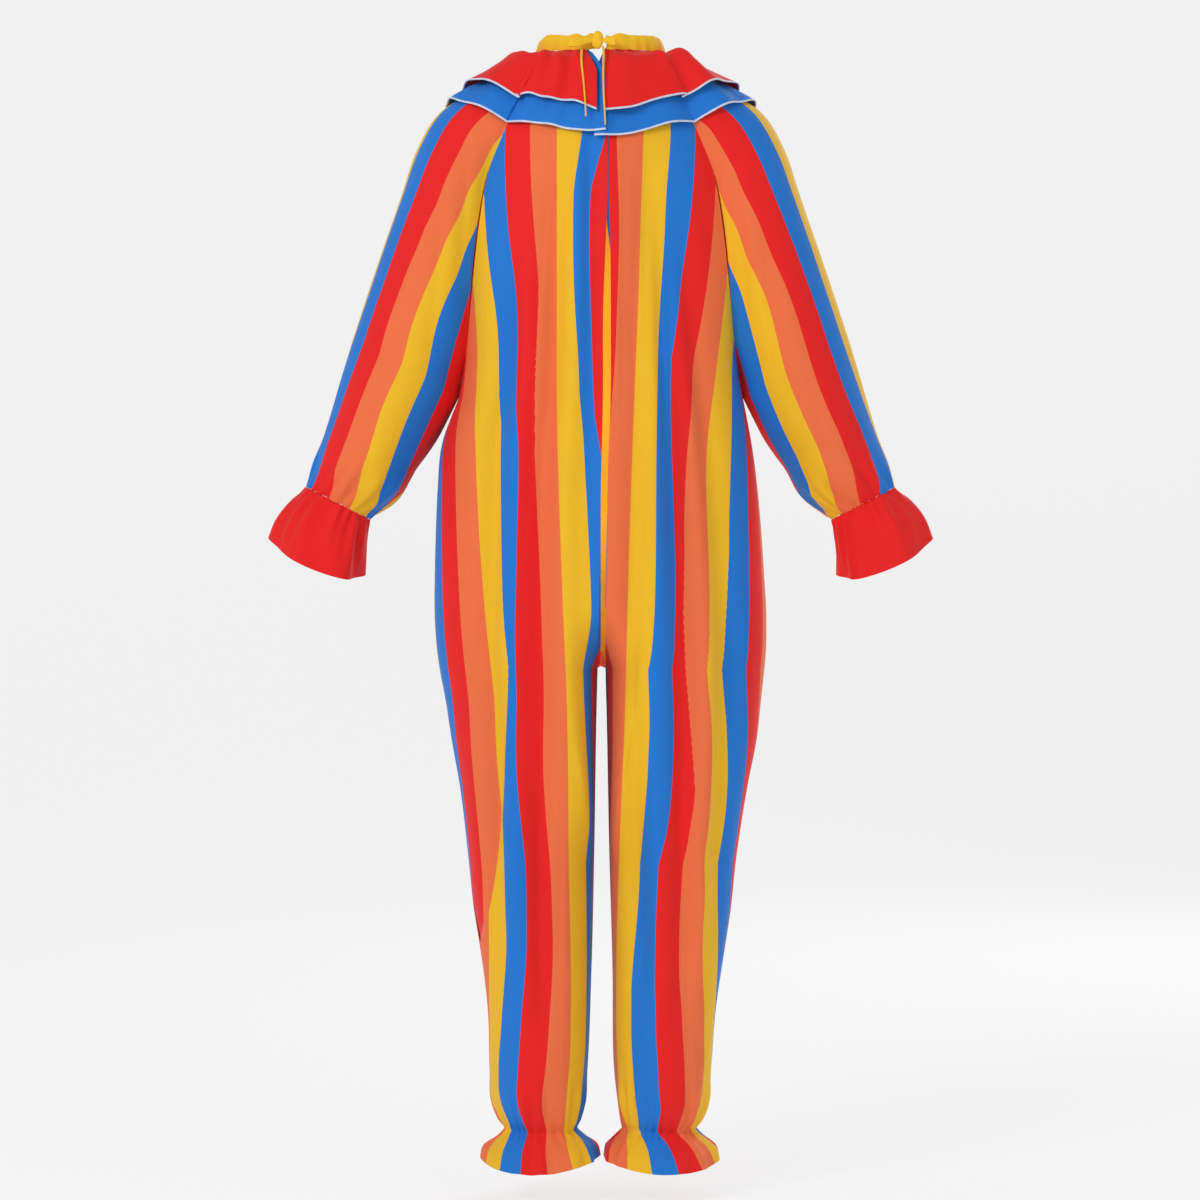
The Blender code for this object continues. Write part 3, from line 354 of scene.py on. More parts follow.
def sleeve_row(down, columns):
    """Points round the sleeve, from the back seam over its outer line to the front seam."""
    table = YOKE if down <= 1.0 else ARM
    value = {c: float(through(table, c, down)) for c in table if c != "down"}
    outer = np.array((value["outer_x"], value["outer_z"]))
    if down <= 1.0:
        inner = np.array((value["seam_x"], value["seam_z"]))
        wrap, drop, middle_y = math.radians(value["wrap"]), value["front_drop"], 0.0
    else:
        inner = np.array((value["inner_x"], value["inner_z"]))
        wrap, drop, middle_y = math.pi, 0.0, value["middle_y"]
    half_width = np.linalg.norm(outer - inner) / (1 - math.cos(wrap))
    along = (outer - inner) / np.linalg.norm(outer - inner)
    middle = outer - along * half_width
    turn = wrap * np.linspace(1, -1, columns + 1)
    forward = np.linspace(0, 1, columns + 1)
    points = np.empty((columns + 1, 3))
    points[:, 0] = middle[0] + along[0] * half_width * np.cos(turn)
    section = np.sin(turn) * np.abs(np.sin(turn)) ** max(value["flat"], 0.0)
    points[:, 1] = middle_y + value["half_depth"] * section
    points[:, 2] = middle[1] + along[1] * half_width * np.cos(turn) - drop * smooth(forward)
    return points


def yoke_row(down, face, edge, columns):
    """Points from the centre line to the raglan seam, above the armpit."""
    seam = sleeve_row(down, 2)[0 if face == "back" else 2]
    y = float(through(YOKE, face + "_y", down))
    z = float(through(YOKE, face + "_z", down))
    share = min(abs(seam[1] / y), 0.999999)
    half_width = seam[0] / math.sqrt(1 - share ** 2)
    start = math.asin(edge / half_width)
    end = math.asin(min(seam[0] / half_width, 1.0))
    turn = np.linspace(start, end, columns + 1)
    across = np.clip(turn / end, 0, 1)
    points = np.empty((columns + 1, 3))
    points[:, 0] = half_width * np.sin(turn)
    points[:, 1] = y * np.cos(turn)
    points[:, 2] = z + (seam[2] - z) * across ** 2
    points[-1] = seam
    return points


def body_row(z, side, face, edge, columns):
    """Points from the centre edge or inseam to the side seam, below the armpit."""
    reach = float(through(BODY, side, z, "z"))
    depth = float(through(BODY, face, z, "z"))
    leg = float(np.clip(through(BODY, "leg", z, "z"), 0, 1))
    inseam = float(through(EDGE, side, z, "z"))
    middle = leg * (reach + inseam) / 2
    half_width = reach - middle
    share = np.linspace(0, 1, columns + 1)
    fade = np.clip((LEG_SPACING[0] - z) / (LEG_SPACING[0] - LEG_SPACING[1]), 0, 1)
    across = (1 - fade) * np.sin(share * math.pi / 2) + fade * (1 - np.cos(share * math.pi)) / 2
    points = np.empty((columns + 1, 3))
    points[:, 0] = edge + across * (reach - edge)
    level = np.clip((points[:, 0] - middle) / half_width, -1, 1)
    # The seat's seam curves in to the crotch, and below it the inseam's edge is round.
    seat = np.clip((SEAT_Z - z) / (SEAT_Z - CROTCH_Z), 0, 1) ** 2
    inside = np.clip((points[:, 0] - edge) / (INSEAM_ROUND * (1 - leg) + LEAST_ROUND), 0, 1)
    rounded = np.sqrt(1 - seat * (1 - inside) ** 2)
    points[:, 1] = depth * np.sqrt(1 - level ** 2) * rounded * (1 if face == "back" else -1)
    points[:, 2] = z
    points[-1, 1] = 0.0
    return points


def quad_normals(points, sign, ring=False):
    """The sum of the faces' normals at each point of a grid."""
    grid = np.concatenate((points, points[:, :1]), 1) if ring else points
    face = np.cross(grid[1:, 1:] - grid[:-1, :-1], grid[1:, :-1] - grid[:-1, 1:]) * sign
    total = np.zeros_like(grid)
    for rows in (slice(None, -1), slice(1, None)):
        for columns in (slice(None, -1), slice(1, None)):
            total[rows, columns] += face
    if ring:
        total[:, 0] += total[:, -1]
        total = total[:, :-1]
    return total


def outside(side, face):
    """Which way a panel's grid faces: 1 where columns cross rows to the outside."""
    return (-1 if face == "front" else 1) * (1 if side == "left" else -1)


def large_folds(points, piece):
    """How far in each point of a panel lies for the folds that the solids have too."""
    deep = np.zeros(points.shape[:2])
    low, high = points[:, :1, 0], points[:, -1:, 0]
    for fold in FOLDS:
        f = dict(zip(FOLD_COLUMNS, fold))
        if f["piece"] != piece:
            continue
        along = (f["top_z"] - points[:, :, 2]) / (f["top_z"] - f["foot_z"])
        bend = 2 * f["middle"] - (f["top"] + f["foot"]) / 2
        across = ((1 - along) ** 2 * f["top"] + 2 * along * (1 - along) * bend + along ** 2 * f["foot"])
        centre = low + across * (high - low)
        fade = smooth(np.minimum(along, 1 - along) / FOLD_FADE)
        deep += f["depth"] * np.exp(-((points[:, :, 0] - centre) / f["width"]) ** 2) * fade
    lines = np.linspace(0, 1, points.shape[1])
    return deep * np.clip(np.minimum(lines, 1 - lines) / SEAM_KEEP, 0, 1)


def small_creases(points, piece):
    """How far in each point lies for the creases, and how much cloth they have taken up before it."""
    deep = np.zeros(points.shape[:2])
    taken = np.zeros(points.shape[:2])
    for crease in CREASES:
        c = dict(zip(CREASE_COLUMNS, crease))
        if c["piece"] != piece:
            continue
        along = (c["top_z"] - points[:, :, 2]) / (c["top_z"] - c["foot_z"])
        bend = 2 * c["middle_x"] - (c["top_x"] + c["foot_x"]) / 2
        centre = (1 - along) ** 2 * c["top_x"] + 2 * along * (1 - along) * bend + along ** 2 * c["foot_x"]
        fade = smooth(np.minimum(along, 1 - along) / CREASE_FADE)
        away = points[:, :, 0] - centre
        profile = np.where(away > 0, np.exp(-(away / c["outer"]) ** 2), np.exp(-(away / c["inner"]) ** 2))
        deep += c["depth"] * profile * fade
        taken += c["takes"] * fade * smooth(away / (2 * c["inner"]) + 0.5)
    return deep, taken


def row_run(points):
    """How far along its row each point lies."""
    steps = np.linalg.norm(np.diff(points, axis=1), axis=2)
    return np.concatenate((np.zeros((len(points), 1)), np.cumsum(steps, axis=1)), axis=1)


def column_run(points):
    """How far down the piece each row lies, along its middle column."""
    middle = points[:, points.shape[1] // 2]
    return np.concatenate(((0.0,), np.cumsum(np.linalg.norm(np.diff(middle, axis=0), axis=1))))


def at_place(run, places, wanted):
    """The run of each row where its places reach the wanted place."""
    return np.array([np.interp(w, p, r) for w, p, r in zip(wanted, places, run)])[:, None]


def seam_dent(points, edges):
    """The small groove and puckers along each sewn edge."""
    run = row_run(points)
    deep = np.zeros(points.shape[:2])
    down = column_run(points)[:, None]
    for edge in edges:
        far = run[:, -1:] - run if edge == "last" else run
        pucker = 0.5 + 0.5 * np.sin(down / SEAM["pitch"] + 1.7 * np.sin(down / SEAM["drift"]))
        groove = SEAM["groove"] * np.exp(-(far / SEAM["width"]) ** 2)
        groove = groove + SEAM["pucker"] * pucker * np.exp(-far / SEAM["reach"])
        deep += groove * smooth(far / SEAM["start"])
    return deep


def ankle_gathers(points, side, face):
    """Gathers above the ankle's elastic and the flare of the leg's own ruffle below it."""
    share = np.linspace(0, 1, points.shape[1])[None, :]
    at = share / 2 if face == "back" else 1 - share / 2
    z = points[:, :, 2]
    above = np.clip(z - ANKLE_Z, 0, None)
    below = np.clip(ANKLE_Z - z, 0, None)
    seed = 11 if side == "left" else 12
    size = ANKLE
    fine = ripple(at, size["fine"], seed)
    broad = ripple(at, size["broad"], seed + 20)
    held = size["held"] * np.exp(-(above / size["above"]) ** 1.5) * np.exp(-(below / size["below"]) ** 2)
    over = size["over"] * np.exp(-((above - size["over_at"]) / size["over_length"]) ** 2)
    over = over * smooth(above / size["over_start"])
    flare = size["flare"] * smooth(below / size["flare_length"])
    cord = size["cord"] * np.exp(-((z - ANKLE_Z) / size["cord_width"]) ** 2)
    return -(held * fine + (over + flare) * broad) + cord


def body_panel(side, face):
    """A back or a front with its leg, and its cloth's own co-ordinates in metres."""
    columns = BACK_CUTS if face == "back" else FRONT_CUTS
    rows = []
    for down in YOKE_CUTS[:-1]:
        z = float(through(YOKE, "back_z", down))
        edge = float(through(EDGE, side, z, "z")) if face == "back" else 0.0
        rows.append(yoke_row(down, face, edge, columns))
    for z in BODY_CUTS:
        edge = float(through(EDGE, side, z, "z")) if face == "back" or z < CROTCH_Z + 1e-6 else 0.0
        rows.append(body_row(z, side, face, edge, columns))
    points = np.array(rows)
    name = face + "_" + side
    sign = -1 if face == "front" else 1
    normals = unit(quad_normals(points, sign))
    deep, taken = small_creases(points, name)
    folded = points - normals * (large_folds(points, name) + deep)[:, :, None]

    z = folded[:, columns // 2, 2]
    more = through(LEG_FULLNESS, "more", z, "z")[:, None]
    run = row_run(folded)
    wanted = through(GRAIN, side, z, "z") if face == "back" else np.full(len(z), FRONT_GRAIN)
    start = at_place(run, folded[:, :, 0], wanted)
    taken = taken - at_place(taken, folded[:, :, 0], wanted)
    stripes = ((run - start) * more + taken) / STRIPE * (1 if side == "left" else -1)
    if face == "front":
        stripes = stripes + 1

    edges = ("last",) if face == "back" else ("first", "last")
    normals = unit(quad_normals(folded, sign))
    finer = seam_dent(folded, edges) + ankle_gathers(folded, side, face)
    done = folded - normals * finer[:, :, None]
    rise = through(HEM_RISE, face, np.linspace(0, 1, columns + 1), "share")
    done[:, :, 2] += rise[None, :] * smooth((ANKLE_Z - points[:, :, 2]) / ANKLE["flare_length"])
    return mirror(done, side), stripes * STRIPE


def sleeve_panel(side):
    """A raglan sleeve and its cloth's own co-ordinates in metres."""
    downs = np.concatenate((YOKE_CUTS, ARM_CUTS[1:]))
    points = np.array([sleeve_row(down, SLEEVE_CUTS) for down in downs])
    normals = unit(quad_normals(points, 1))
    deep, taken = small_creases(points, "sleeve_" + side)
    folded = points - normals * deep[:, :, None]

    run = row_run(folded)
    outer = run[:, SLEEVE_CUTS // 2][:, None]
    behind = through(SLEEVE_GRAIN, side, downs)[:, None]
    more = through(SLEEVE_FULLNESS, "more", downs)[:, None]
    beyond = taken[:, SLEEVE_CUTS // 2][:, None] - taken
    stripes = 2 - ((outer - run - behind) * more + np.where(run < outer, beyond, -beyond)) / STRIPE
    if side == "right":
        stripes = stripes + 4

    at = (np.linspace(0, 1, SLEEVE_CUTS + 1)[None, :] + 0.5) % 1.0
    to_wrist = ((2 - downs) * ARM_LENGTH)[:, None]
    seed = 31 if side == "left" else 32
    held = WRIST["held"] * np.exp(-(to_wrist / WRIST["length"]) ** 1.5) * ripple(at, WRIST["fine"], seed)
    over = WRIST["over"] * np.exp(-((to_wrist - WRIST["over_at"]) / WRIST["over_length"]) ** 2)
    over = over * smooth(to_wrist / WRIST["over_start"]) * ripple(at, WRIST["broad"], seed + 20)
    finer = seam_dent(folded, ("first", "last")) - held - over
    done = folded - unit(quad_normals(folded, 1)) * finer[:, :, None]
    return mirror(done, side), stripes * STRIPE


def cuff_ring(side):
    """The wrist ruffle, with gathers that start in the elastic and open towards its hem."""
    turn = np.linspace(0, 2 * math.pi, CUFF_CUTS, endpoint=False)
    at = turn / (2 * math.pi)
    seed = 31 if side == "left" else 32
    size = CUFF_GATHERS
    fine, broad = ripple(at, size["fine"], seed), ripple(at, size["broad"], seed + 40)
    rows = []
    for down in np.linspace(0, 1, CUFF_ROWS):
        value = {c: float(through(CUFF, c, down)) for c in CUFF if c != "down"}
        outer = np.array((value["outer_x"], value["outer_z"]))
        inner = np.array((value["inner_x"], value["inner_z"]))
        middle, arm = (outer + inner) / 2, (outer - inner) / 2
        wave = 1 + CUFF_WAVE * down * np.cos(CUFF_WAVES * turn + CUFF_TURN)
        gathers = size["held"] * math.exp(-(down / size["length"]) ** 2) * fine
        opened = math.exp(-((down - size["open_at"]) / size["open_length"]) ** 2)
        opening = size["open"] * float(smooth(down / size["open_start"])) * opened * broad
        wave = wave + (gathers + opening) / np.linalg.norm(arm)
        x = middle[0] + arm[0] * np.cos(turn) * wave
        z = middle[1] + arm[1] * np.cos(turn) * wave
        y = value["middle_y"] - value["half_depth"] * np.sin(turn) * wave
        z = z - CUFF_SAG * down ** 2 * np.clip(-np.sin(turn), 0, 1)
        rows.append(np.stack((x, y, z), 1))
    return mirror(np.array(rows), side)


def yoke_ring(down, edges, columns):
    """Points round the yoke, evenly spaced, from the left end to the right end at the centre back."""
    halves = []
    for edge in edges:
        back = yoke_row(down, "back", edge, 24)
        front = yoke_row(down, "front", 0.0, 24)
        halves.append(np.concatenate((back, sleeve_row(down, 32)[1:], front[::-1][1:])))
    ring = np.concatenate((halves[0], mirror(halves[1], "right")[::-1][1:]))
    run = np.concatenate(((0,), np.cumsum(np.linalg.norm(np.diff(ring, axis=0), axis=1))))
    at = np.linspace(0, run[-1], columns + 1)
    return np.stack([np.interp(at, run, ring[:, k]) for k in range(3)], 1)


def ruffle_ends(name, level):
    """How far a ruffle's two ends stand from the centre back: further apart near the neck."""
    near = np.clip(1 - level / SPREAD_END, 0, 1)
    left, right = RUFFLE[name]["edge"]
    more_left, more_right = RUFFLE[name]["spread"]
    return left + more_left * near, right + more_right * near


def ruffle_grid(name):
    """A ruffle's outer face: the yoke's own points, moved out, with its folds and gathers."""
    shape = RUFFLE[name]
    columns = RUFFLE_CUTS
    rows = np.linspace(0, 1, RUFFLE_ROWS_FINE)
    share = np.linspace(0, 1, columns + 1)
    reach = through(REACH, name, share, "share")
    levels = np.linspace(0, reach.max() * 1.02, 25)
    yoke = np.array([yoke_ring(level, ruffle_ends(name, level), columns) for level in levels])
    normals = unit(quad_normals(yoke, 1))
    lap = shape["lap"] * np.clip(1 - share / LAP_LENGTH, 0, 1)
    if name == "ruffle_red":
        lap = lap + shape["lap"] * np.clip(1 - (1 - share) / LAP_LENGTH, 0, 1)
    near_end = np.exp(-(share / CALM_LENGTH) ** 2) + np.exp(-((1 - share) / CALM_LENGTH) ** 2)
    shoulder = np.exp(-((share - 0.25) / SNUG_LENGTH) ** 2) + np.exp(-((0.75 - share) / SNUG_LENGTH) ** 2)
    calm = 1 - CALM * near_end - SNUG * shoulder
    points = np.empty((len(rows), columns + 1, 3))
    seed = 51 if name == "ruffle_red" else 52
    for j in range(columns + 1):
        at = RUFFLE_START + rows * (reach[j] - RUFFLE_START)
        base = np.stack([np.interp(at, levels, yoke[:, j, k]) for k in range(3)], 1)
        out = unit(np.stack([np.interp(at, levels, normals[:, j, k]) for k in range(3)], 1))
        lift = LIFT[name][0] + (through(LIFT, name, rows) - LIFT[name][0]) * calm[j]
        lift = lift + lap[j] * np.clip(rows / LAP_START, 0, 1)
        wave = (1 + math.cos(2 * math.pi * WAVES * share[j] + WAVE_TURN)) / 2
        lift = lift + shape["wave"] * rows ** 1.5 * wave
        points[:, j] = base + out * lift[:, None]
    down = rows[:, None]
    size = NECK_GATHERS
    top = size["top"] * smooth(down / size["top_start"]) * np.exp(-(down / size["top_length"]) ** 1.5)
    top = top * ripple(share, size["fine"], seed)
    soft = GATHER_DEPTH[name] * smooth(down / GATHER_START[name]) * (1 - size["less"] * down)
    soft = soft * ripple(share, size["broad"], seed + 10)
    return points + unit(quad_normals(points, 1)) * (top + soft)[:, :, None]


# Meshes --------------------------------------------------------------------------------------

def place(name, data, at=(0.0, 0.0, 0.0)):
    obj = bpy.data.objects.new(name, data)
    obj.location = at
    bpy.context.scene.collection.objects.link(obj)
    return obj


def add_mesh(name, vertices, faces, material, uv=None):
    """A smooth mesh. With its cloth's co-ordinates, it keeps its rims sharp."""
    mesh = bpy.data.meshes.new(name)
    mesh.from_pydata(vertices.tolist(), [], faces)
    if uv is not None:
        layer = mesh.uv_layers.new(name="cloth")
        layer.data.foreach_set("uv", np.asarray(uv, np.float32).reshape(-1))
    mesh.shade_smooth()
    if uv is not None:
        mesh.set_sharp_from_angle(angle=math.radians(60))
    mesh.materials.append(material)
    return place(name, mesh)


def shell(name, points, across, thickness, sign, material, ring=False):
    """A closed wall of cloth between a grid and the same grid moved in, with its cloth's co-ordinates."""
    rows, columns = points.shape[:2]
    normals = unit(quad_normals(points, sign, ring))
    vertices = np.concatenate((points.reshape(-1, 3), (points - normals * thickness).reshape(-1, 3)))
    inner = rows * columns
    down = np.repeat(column_run(points)[:, None], across.shape[1], 1)
    cloth = np.stack((across, down), 2)
    last = columns if ring else columns - 1
    i, j = np.meshgrid(np.arange(rows - 1), np.arange(last), indexing="ij")
    i, j = i.ravel(), j.ravel()

    def quads(corners):
        return (np.stack([a * columns + b % columns for a, b in corners], 1),
                np.stack([cloth[a, b] for a, b in corners], 1))

    outer_faces, outer_uv = quads(((i, j), (i, j + 1), (i + 1, j + 1), (i + 1, j)))
    faces, uv = [outer_faces, outer_faces[:, ::-1] + inner], [outer_uv, outer_uv[:, ::-1]]
    rims = [(np.zeros(last, int), np.arange(last) + 1, np.zeros(last, int), np.arange(last)),
            (np.full(last, rows - 1), np.arange(last), np.full(last, rows - 1), np.arange(last) + 1)]
    if not ring:
        side = np.arange(rows - 1)
        rims.append((side, np.zeros(rows - 1, int), side + 1, np.zeros(rows - 1, int)))
        rims.append((side + 1, np.full(rows - 1, last), side, np.full(rows - 1, last)))
    for a_row, a_column, b_row, b_column in rims:
        edge, edge_uv = quads(((a_row, a_column), (b_row, b_column)))
        faces.append(np.concatenate((edge, edge[:, ::-1] + inner), 1))
        uv.append(np.concatenate((edge_uv, edge_uv[:, ::-1]), 1))
    faces, uv = np.concatenate(faces), np.concatenate(uv)
    if sign < 0:
        faces, uv = faces[:, ::-1], uv[:, ::-1]
    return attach(add_mesh(name, vertices, faces.tolist(), material, uv), "root")


def tube(name, line, wide, thick, material, sides=10):
    """A closed bar with an oval section along a line; wide and thick are its half sizes as vectors."""
    turn = np.linspace(0, 2 * math.pi, sides, endpoint=False)
    count = len(line)
    rings = (line[:, None] + wide[:, None] * np.cos(turn)[None, :, None]
             + thick[:, None] * np.sin(turn)[None, :, None])
    vertices = np.concatenate((rings.reshape(-1, 3), line[:1], line[-1:]))
    i, j = np.meshgrid(np.arange(count - 1), np.arange(sides), indexing="ij")
    i, j = i.ravel(), j.ravel()
    body = np.stack((i * sides + j, i * sides + (j + 1) % sides, (i + 1) * sides + (j + 1) % sides,
                     (i + 1) * sides + j), 1)
    k = np.arange(sides)
    first = np.stack((np.full(sides, count * sides), (k + 1) % sides, k), 1)
    last_ring = (count - 1) * sides
    last = np.stack((np.full(sides, count * sides + 1), last_ring + k, last_ring + (k + 1) % sides), 1)
    faces = body.tolist() + first.tolist() + last.tolist()
    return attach(add_mesh(name, vertices, faces, material), "root")


def stitches(name, line, out, material, length=0.0026, gap=0.0010, thick=0.00045):
    """A row of stitches along a line, as one mesh of small rounded bars."""
    run = np.concatenate(((0,), np.cumsum(np.linalg.norm(np.diff(line, axis=0), axis=1))))
    starts = np.arange(gap, run[-1] - length, length + gap)

    def along_line(at, what):
        return np.stack([np.interp(at, run, what[:, k]) for k in range(3)], 1)

    a, b = along_line(starts, line), along_line(starts + length, line)
    up = unit(along_line(starts + length / 2, out))
    along = unit(b - a)
    beside = unit(np.cross(along, up))
    vertices, faces = [], []
    corners = ((0.0, 0.5), (0.5, 0.15), (0.5, -0.35), (-0.5, -0.35), (-0.5, 0.15))
    for end, sink in ((a, 0.35), (a + along * length * 0.2, 0.0), (b - along * length * 0.2, 0.0), (b, 0.35)):
        for across, high in corners:
            vertices.append(end + beside * thick * across * (1 - sink) + up * thick * (high - sink))
    count = len(starts)
    stack = np.stack(vertices, 1).reshape(-1, 3)
    sides = len(corners)
    one = []
    for ring in range(3):
        for k in range(sides):
            n = (k + 1) % sides
            one.append((ring * sides + k, ring * sides + n, (ring + 1) * sides + n, (ring + 1) * sides + k))
    for s in range(count):
        offset = s * sides * 4
        faces += [tuple(offset + v for v in f) for f in one]
        faces.append(tuple(offset + k for k in reversed(range(sides))))
        faces.append(tuple(offset + 3 * sides + k for k in range(sides)))
    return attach(add_mesh(name, stack, faces, material), "root")


# Materials -----------------------------------------------------------------------------------

def new_node(tree, kind, *feeds, **values):
    """A node whose inputs, by place or by name, have a value or are fed by another node's output."""
    made = tree.nodes.new(kind)
    for key, value in [*values.items(), *enumerate(feeds)]:
        socket = key.replace("_", " ") if isinstance(key, str) else key
        if isinstance(key, str) and socket not in made.inputs:
            setattr(made, key, value)
        elif isinstance(value, bpy.types.NodeSocket):
            tree.links.new(value, made.inputs[socket])
        else:
            made.inputs[socket].default_value = value
    return made


def new_material(name, roughness, specular, sheen=0.0):
    made = bpy.data.materials.new(name)
    made.use_nodes = True
    shader = made.node_tree.nodes["Principled BSDF"]
    shader.inputs["Roughness"].default_value = roughness
    shader.inputs["Specular IOR Level"].default_value = specular
    shader.inputs["Sheen Weight"].default_value = sheen
    return made, made.node_tree, shader


def cloth_material(name, colours):
    """Fine plain-woven cloth in one colour, or in stripes of equal width that follow the cloth."""
    made, tree, shader = new_material(name, 0.70, 0.16, 0.08)
    shader.inputs["Sheen Roughness"].default_value = 0.45
    uv = new_node(tree, "ShaderNodeUVMap", uv_map="cloth").outputs["UV"]
    if len(colours) > 1:
        across = new_node(tree, "ShaderNodeSeparateXYZ", uv).outputs["X"]
        repeat = new_node(tree, "ShaderNodeMath", across, STRIPE * len(colours), operation="DIVIDE")
        fract = new_node(tree, "ShaderNodeMath", repeat.outputs[0], operation="FRACT")
        ramp = new_node(tree, "ShaderNodeValToRGB", fract.outputs[0])
        ramp.color_ramp.interpolation = "CONSTANT"
        for k, colour in enumerate(colours):
            start = k / len(colours)
            stop = ramp.color_ramp.elements[k] if k < 2 else ramp.color_ramp.elements.new(start)
            stop.position = start
            stop.color = (*colour, 1)
        dyed = ramp.outputs[0]
    else:
        dyed = new_node(tree, "ShaderNodeRGB").outputs[0]
        dyed.default_value = (*colours[0], 1)

    # Threads that are a little lighter or darker along the cloth, and soft uneven dye.
    stretch = new_node(tree, "ShaderNodeMapping", Vector=uv, Scale=(1400.0, 18.0, 1.0))
    threads = new_node(tree, "ShaderNodeTexNoise", Vector=stretch.outputs[0], Scale=1.0, Detail=2.0)
    lighter = new_node(tree, "ShaderNodeMapRange", Value=threads.outputs["Fac"], To_Min=0.90, To_Max=1.08)
    coords = new_node(tree, "ShaderNodeTexCoord").outputs["Object"]
    dye = new_node(tree, "ShaderNodeTexNoise", Vector=coords, Scale=9.0, Detail=3.0)
    uneven = new_node(tree, "ShaderNodeMapRange", Value=dye.outputs["Fac"], To_Min=0.94, To_Max=1.05)
    both = new_node(tree, "ShaderNodeMath", lighter.outputs[0], uneven.outputs[0], operation="MULTIPLY")
    tint = new_node(tree, "ShaderNodeMix", data_type="RGBA", blend_type="MULTIPLY")
    tint.inputs[0].default_value = 1.0
    tree.links.new(dyed, tint.inputs[6])
    tree.links.new(both.outputs[0], tint.inputs[7])
    tree.links.new(tint.outputs[2], shader.inputs["Base Color"])

    # The weave itself, and the faint roughness of light cloth.
    waves = [new_node(tree, "ShaderNodeTexWave", wave_type="BANDS", bands_direction=direction, Vector=uv,
                      Scale=520.0, Distortion=0.4, Detail=1.0).outputs["Fac"] for direction in "XY"]
    woven = new_node(tree, "ShaderNodeMath", *waves, operation="MULTIPLY")
    fine = new_node(tree, "ShaderNodeBump", Strength=0.35, Distance=0.00012, Height=woven.outputs[0])
    crumple = new_node(tree, "ShaderNodeTexNoise", Vector=coords, Scale=38.0, Detail=3.0, Roughness=0.45)
    soft = new_node(tree, "ShaderNodeBump", Strength=0.30, Distance=0.0012,
                    Height=crumple.outputs["Fac"], Normal=fine.outputs[0])
    tree.links.new(soft.outputs[0], shader.inputs["Normal"])
    return made


def thread_material(name, colour):
    """Twisted polyester thread or bound edging: a fine slanted rib along the surface."""
    made, tree, shader = new_material(name, 0.50, 0.35, 0.15)
    coords = new_node(tree, "ShaderNodeTexCoord").outputs["Object"]
    tone = new_node(tree, "ShaderNodeTexNoise", Vector=coords, Scale=160.0, Detail=2.0)
    ramp = new_node(tree, "ShaderNodeValToRGB", tone.outputs["Fac"])
    for stop, position, share in zip(ramp.color_ramp.elements, (0.3, 0.7), (0.86, 1.06)):
        stop.position = position
        stop.color = (*[min(1.0, share * c) for c in colour], 1)
    tree.links.new(ramp.outputs[0], shader.inputs["Base Color"])
    rib = new_node(tree, "ShaderNodeTexWave", wave_type="BANDS", bands_direction="DIAGONAL", Vector=coords,
                   Scale=240.0)
    bump = new_node(tree, "ShaderNodeBump", Strength=0.3, Distance=0.0002, Height=rib.outputs["Fac"])
    tree.links.new(bump.outputs[0], shader.inputs["Normal"])
    return made


# Pieces --------------------------------------------------------------------------------------

# The flat cut of each piece: the rectangle round it, and that the piece is gathered.
CUFF_CUT, RUFFLE_CUT = (0.42, 0.075, "gathered"), (1.20, 0.090, "gathered")

striped = cloth_material("striped_cloth", (ORANGE, RED, BLUE, YELLOW))
red_cloth = cloth_material("red_cloth", (RED,))
blue_cloth = cloth_material("blue_cloth", (BLUE,))
yellow_cloth = cloth_material("yellow_cloth", (BAND_YELLOW,))
piping_cloth = thread_material("pale_piping", PALE)
tie_cloth = thread_material("tie_cord", BAND_YELLOW)
red_thread = thread_material("red_thread", (0.62, 0.012, 0.012))


def finish_cloth(node):
    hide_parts(node)


for side in ("left", "right"):
    for face in ("back", "front"):
        name = f"{face}_{side}"
        points, across = body_panel(side, face)
        obj = shell(f"cloth_{name}", points, across, CLOTH, outside(side, face), striped)
        finish_cloth(name)
    points, across = sleeve_panel(side)
    obj = shell(f"cloth_sleeve_{side}", points, across, CLOTH, outside(side, "sleeve"), striped)
    finish_cloth(f"sleeve_{side}")

    points = cuff_ring(side)
    around = np.repeat(np.linspace(0, CUFF_CUT[0], CUFF_CUTS + 1)[None, :], CUFF_ROWS, 0)
    sign = 1 if side == "left" else -1
    obj = shell(f"cloth_cuff_{side}", points, around, CLOTH, sign, red_cloth, ring=True)
    finish_cloth(f"cuff_{side}")
    out = unit(quad_normals(points, sign, ring=True))
    row = CUFF_ROWS - HEM_ROWS
    line, line_out = (np.concatenate((grid[row], grid[row, :1])) for grid in (points, out))
    hem = stitches(f"hem_stitch_cuff_{side}", line, line_out, red_thread)

for name, slot, material in (("ruffle_blue", "blue_cloth", blue_cloth),
                             ("ruffle_red", "red_cloth", red_cloth)):
    points = ruffle_grid(name)
    across = row_run(points)
    obj = shell(f"cloth_{name}", points, across, CLOTH, 1, material)
    finish_cloth(name)
    normals = unit(quad_normals(points, 1))
    down = unit(points[-1] - points[-2])
    middle = points[-1] - normals[-1] * CLOTH / 2 + down * PIPING_WIDTH * 0.42
    edging = tube(name.replace("ruffle", "edging"), middle, down * PIPING_WIDTH / 2,
                  normals[-1] * PIPING_THICK / 2, piping_cloth)
    finish_cloth(name.replace("ruffle", "piping"))


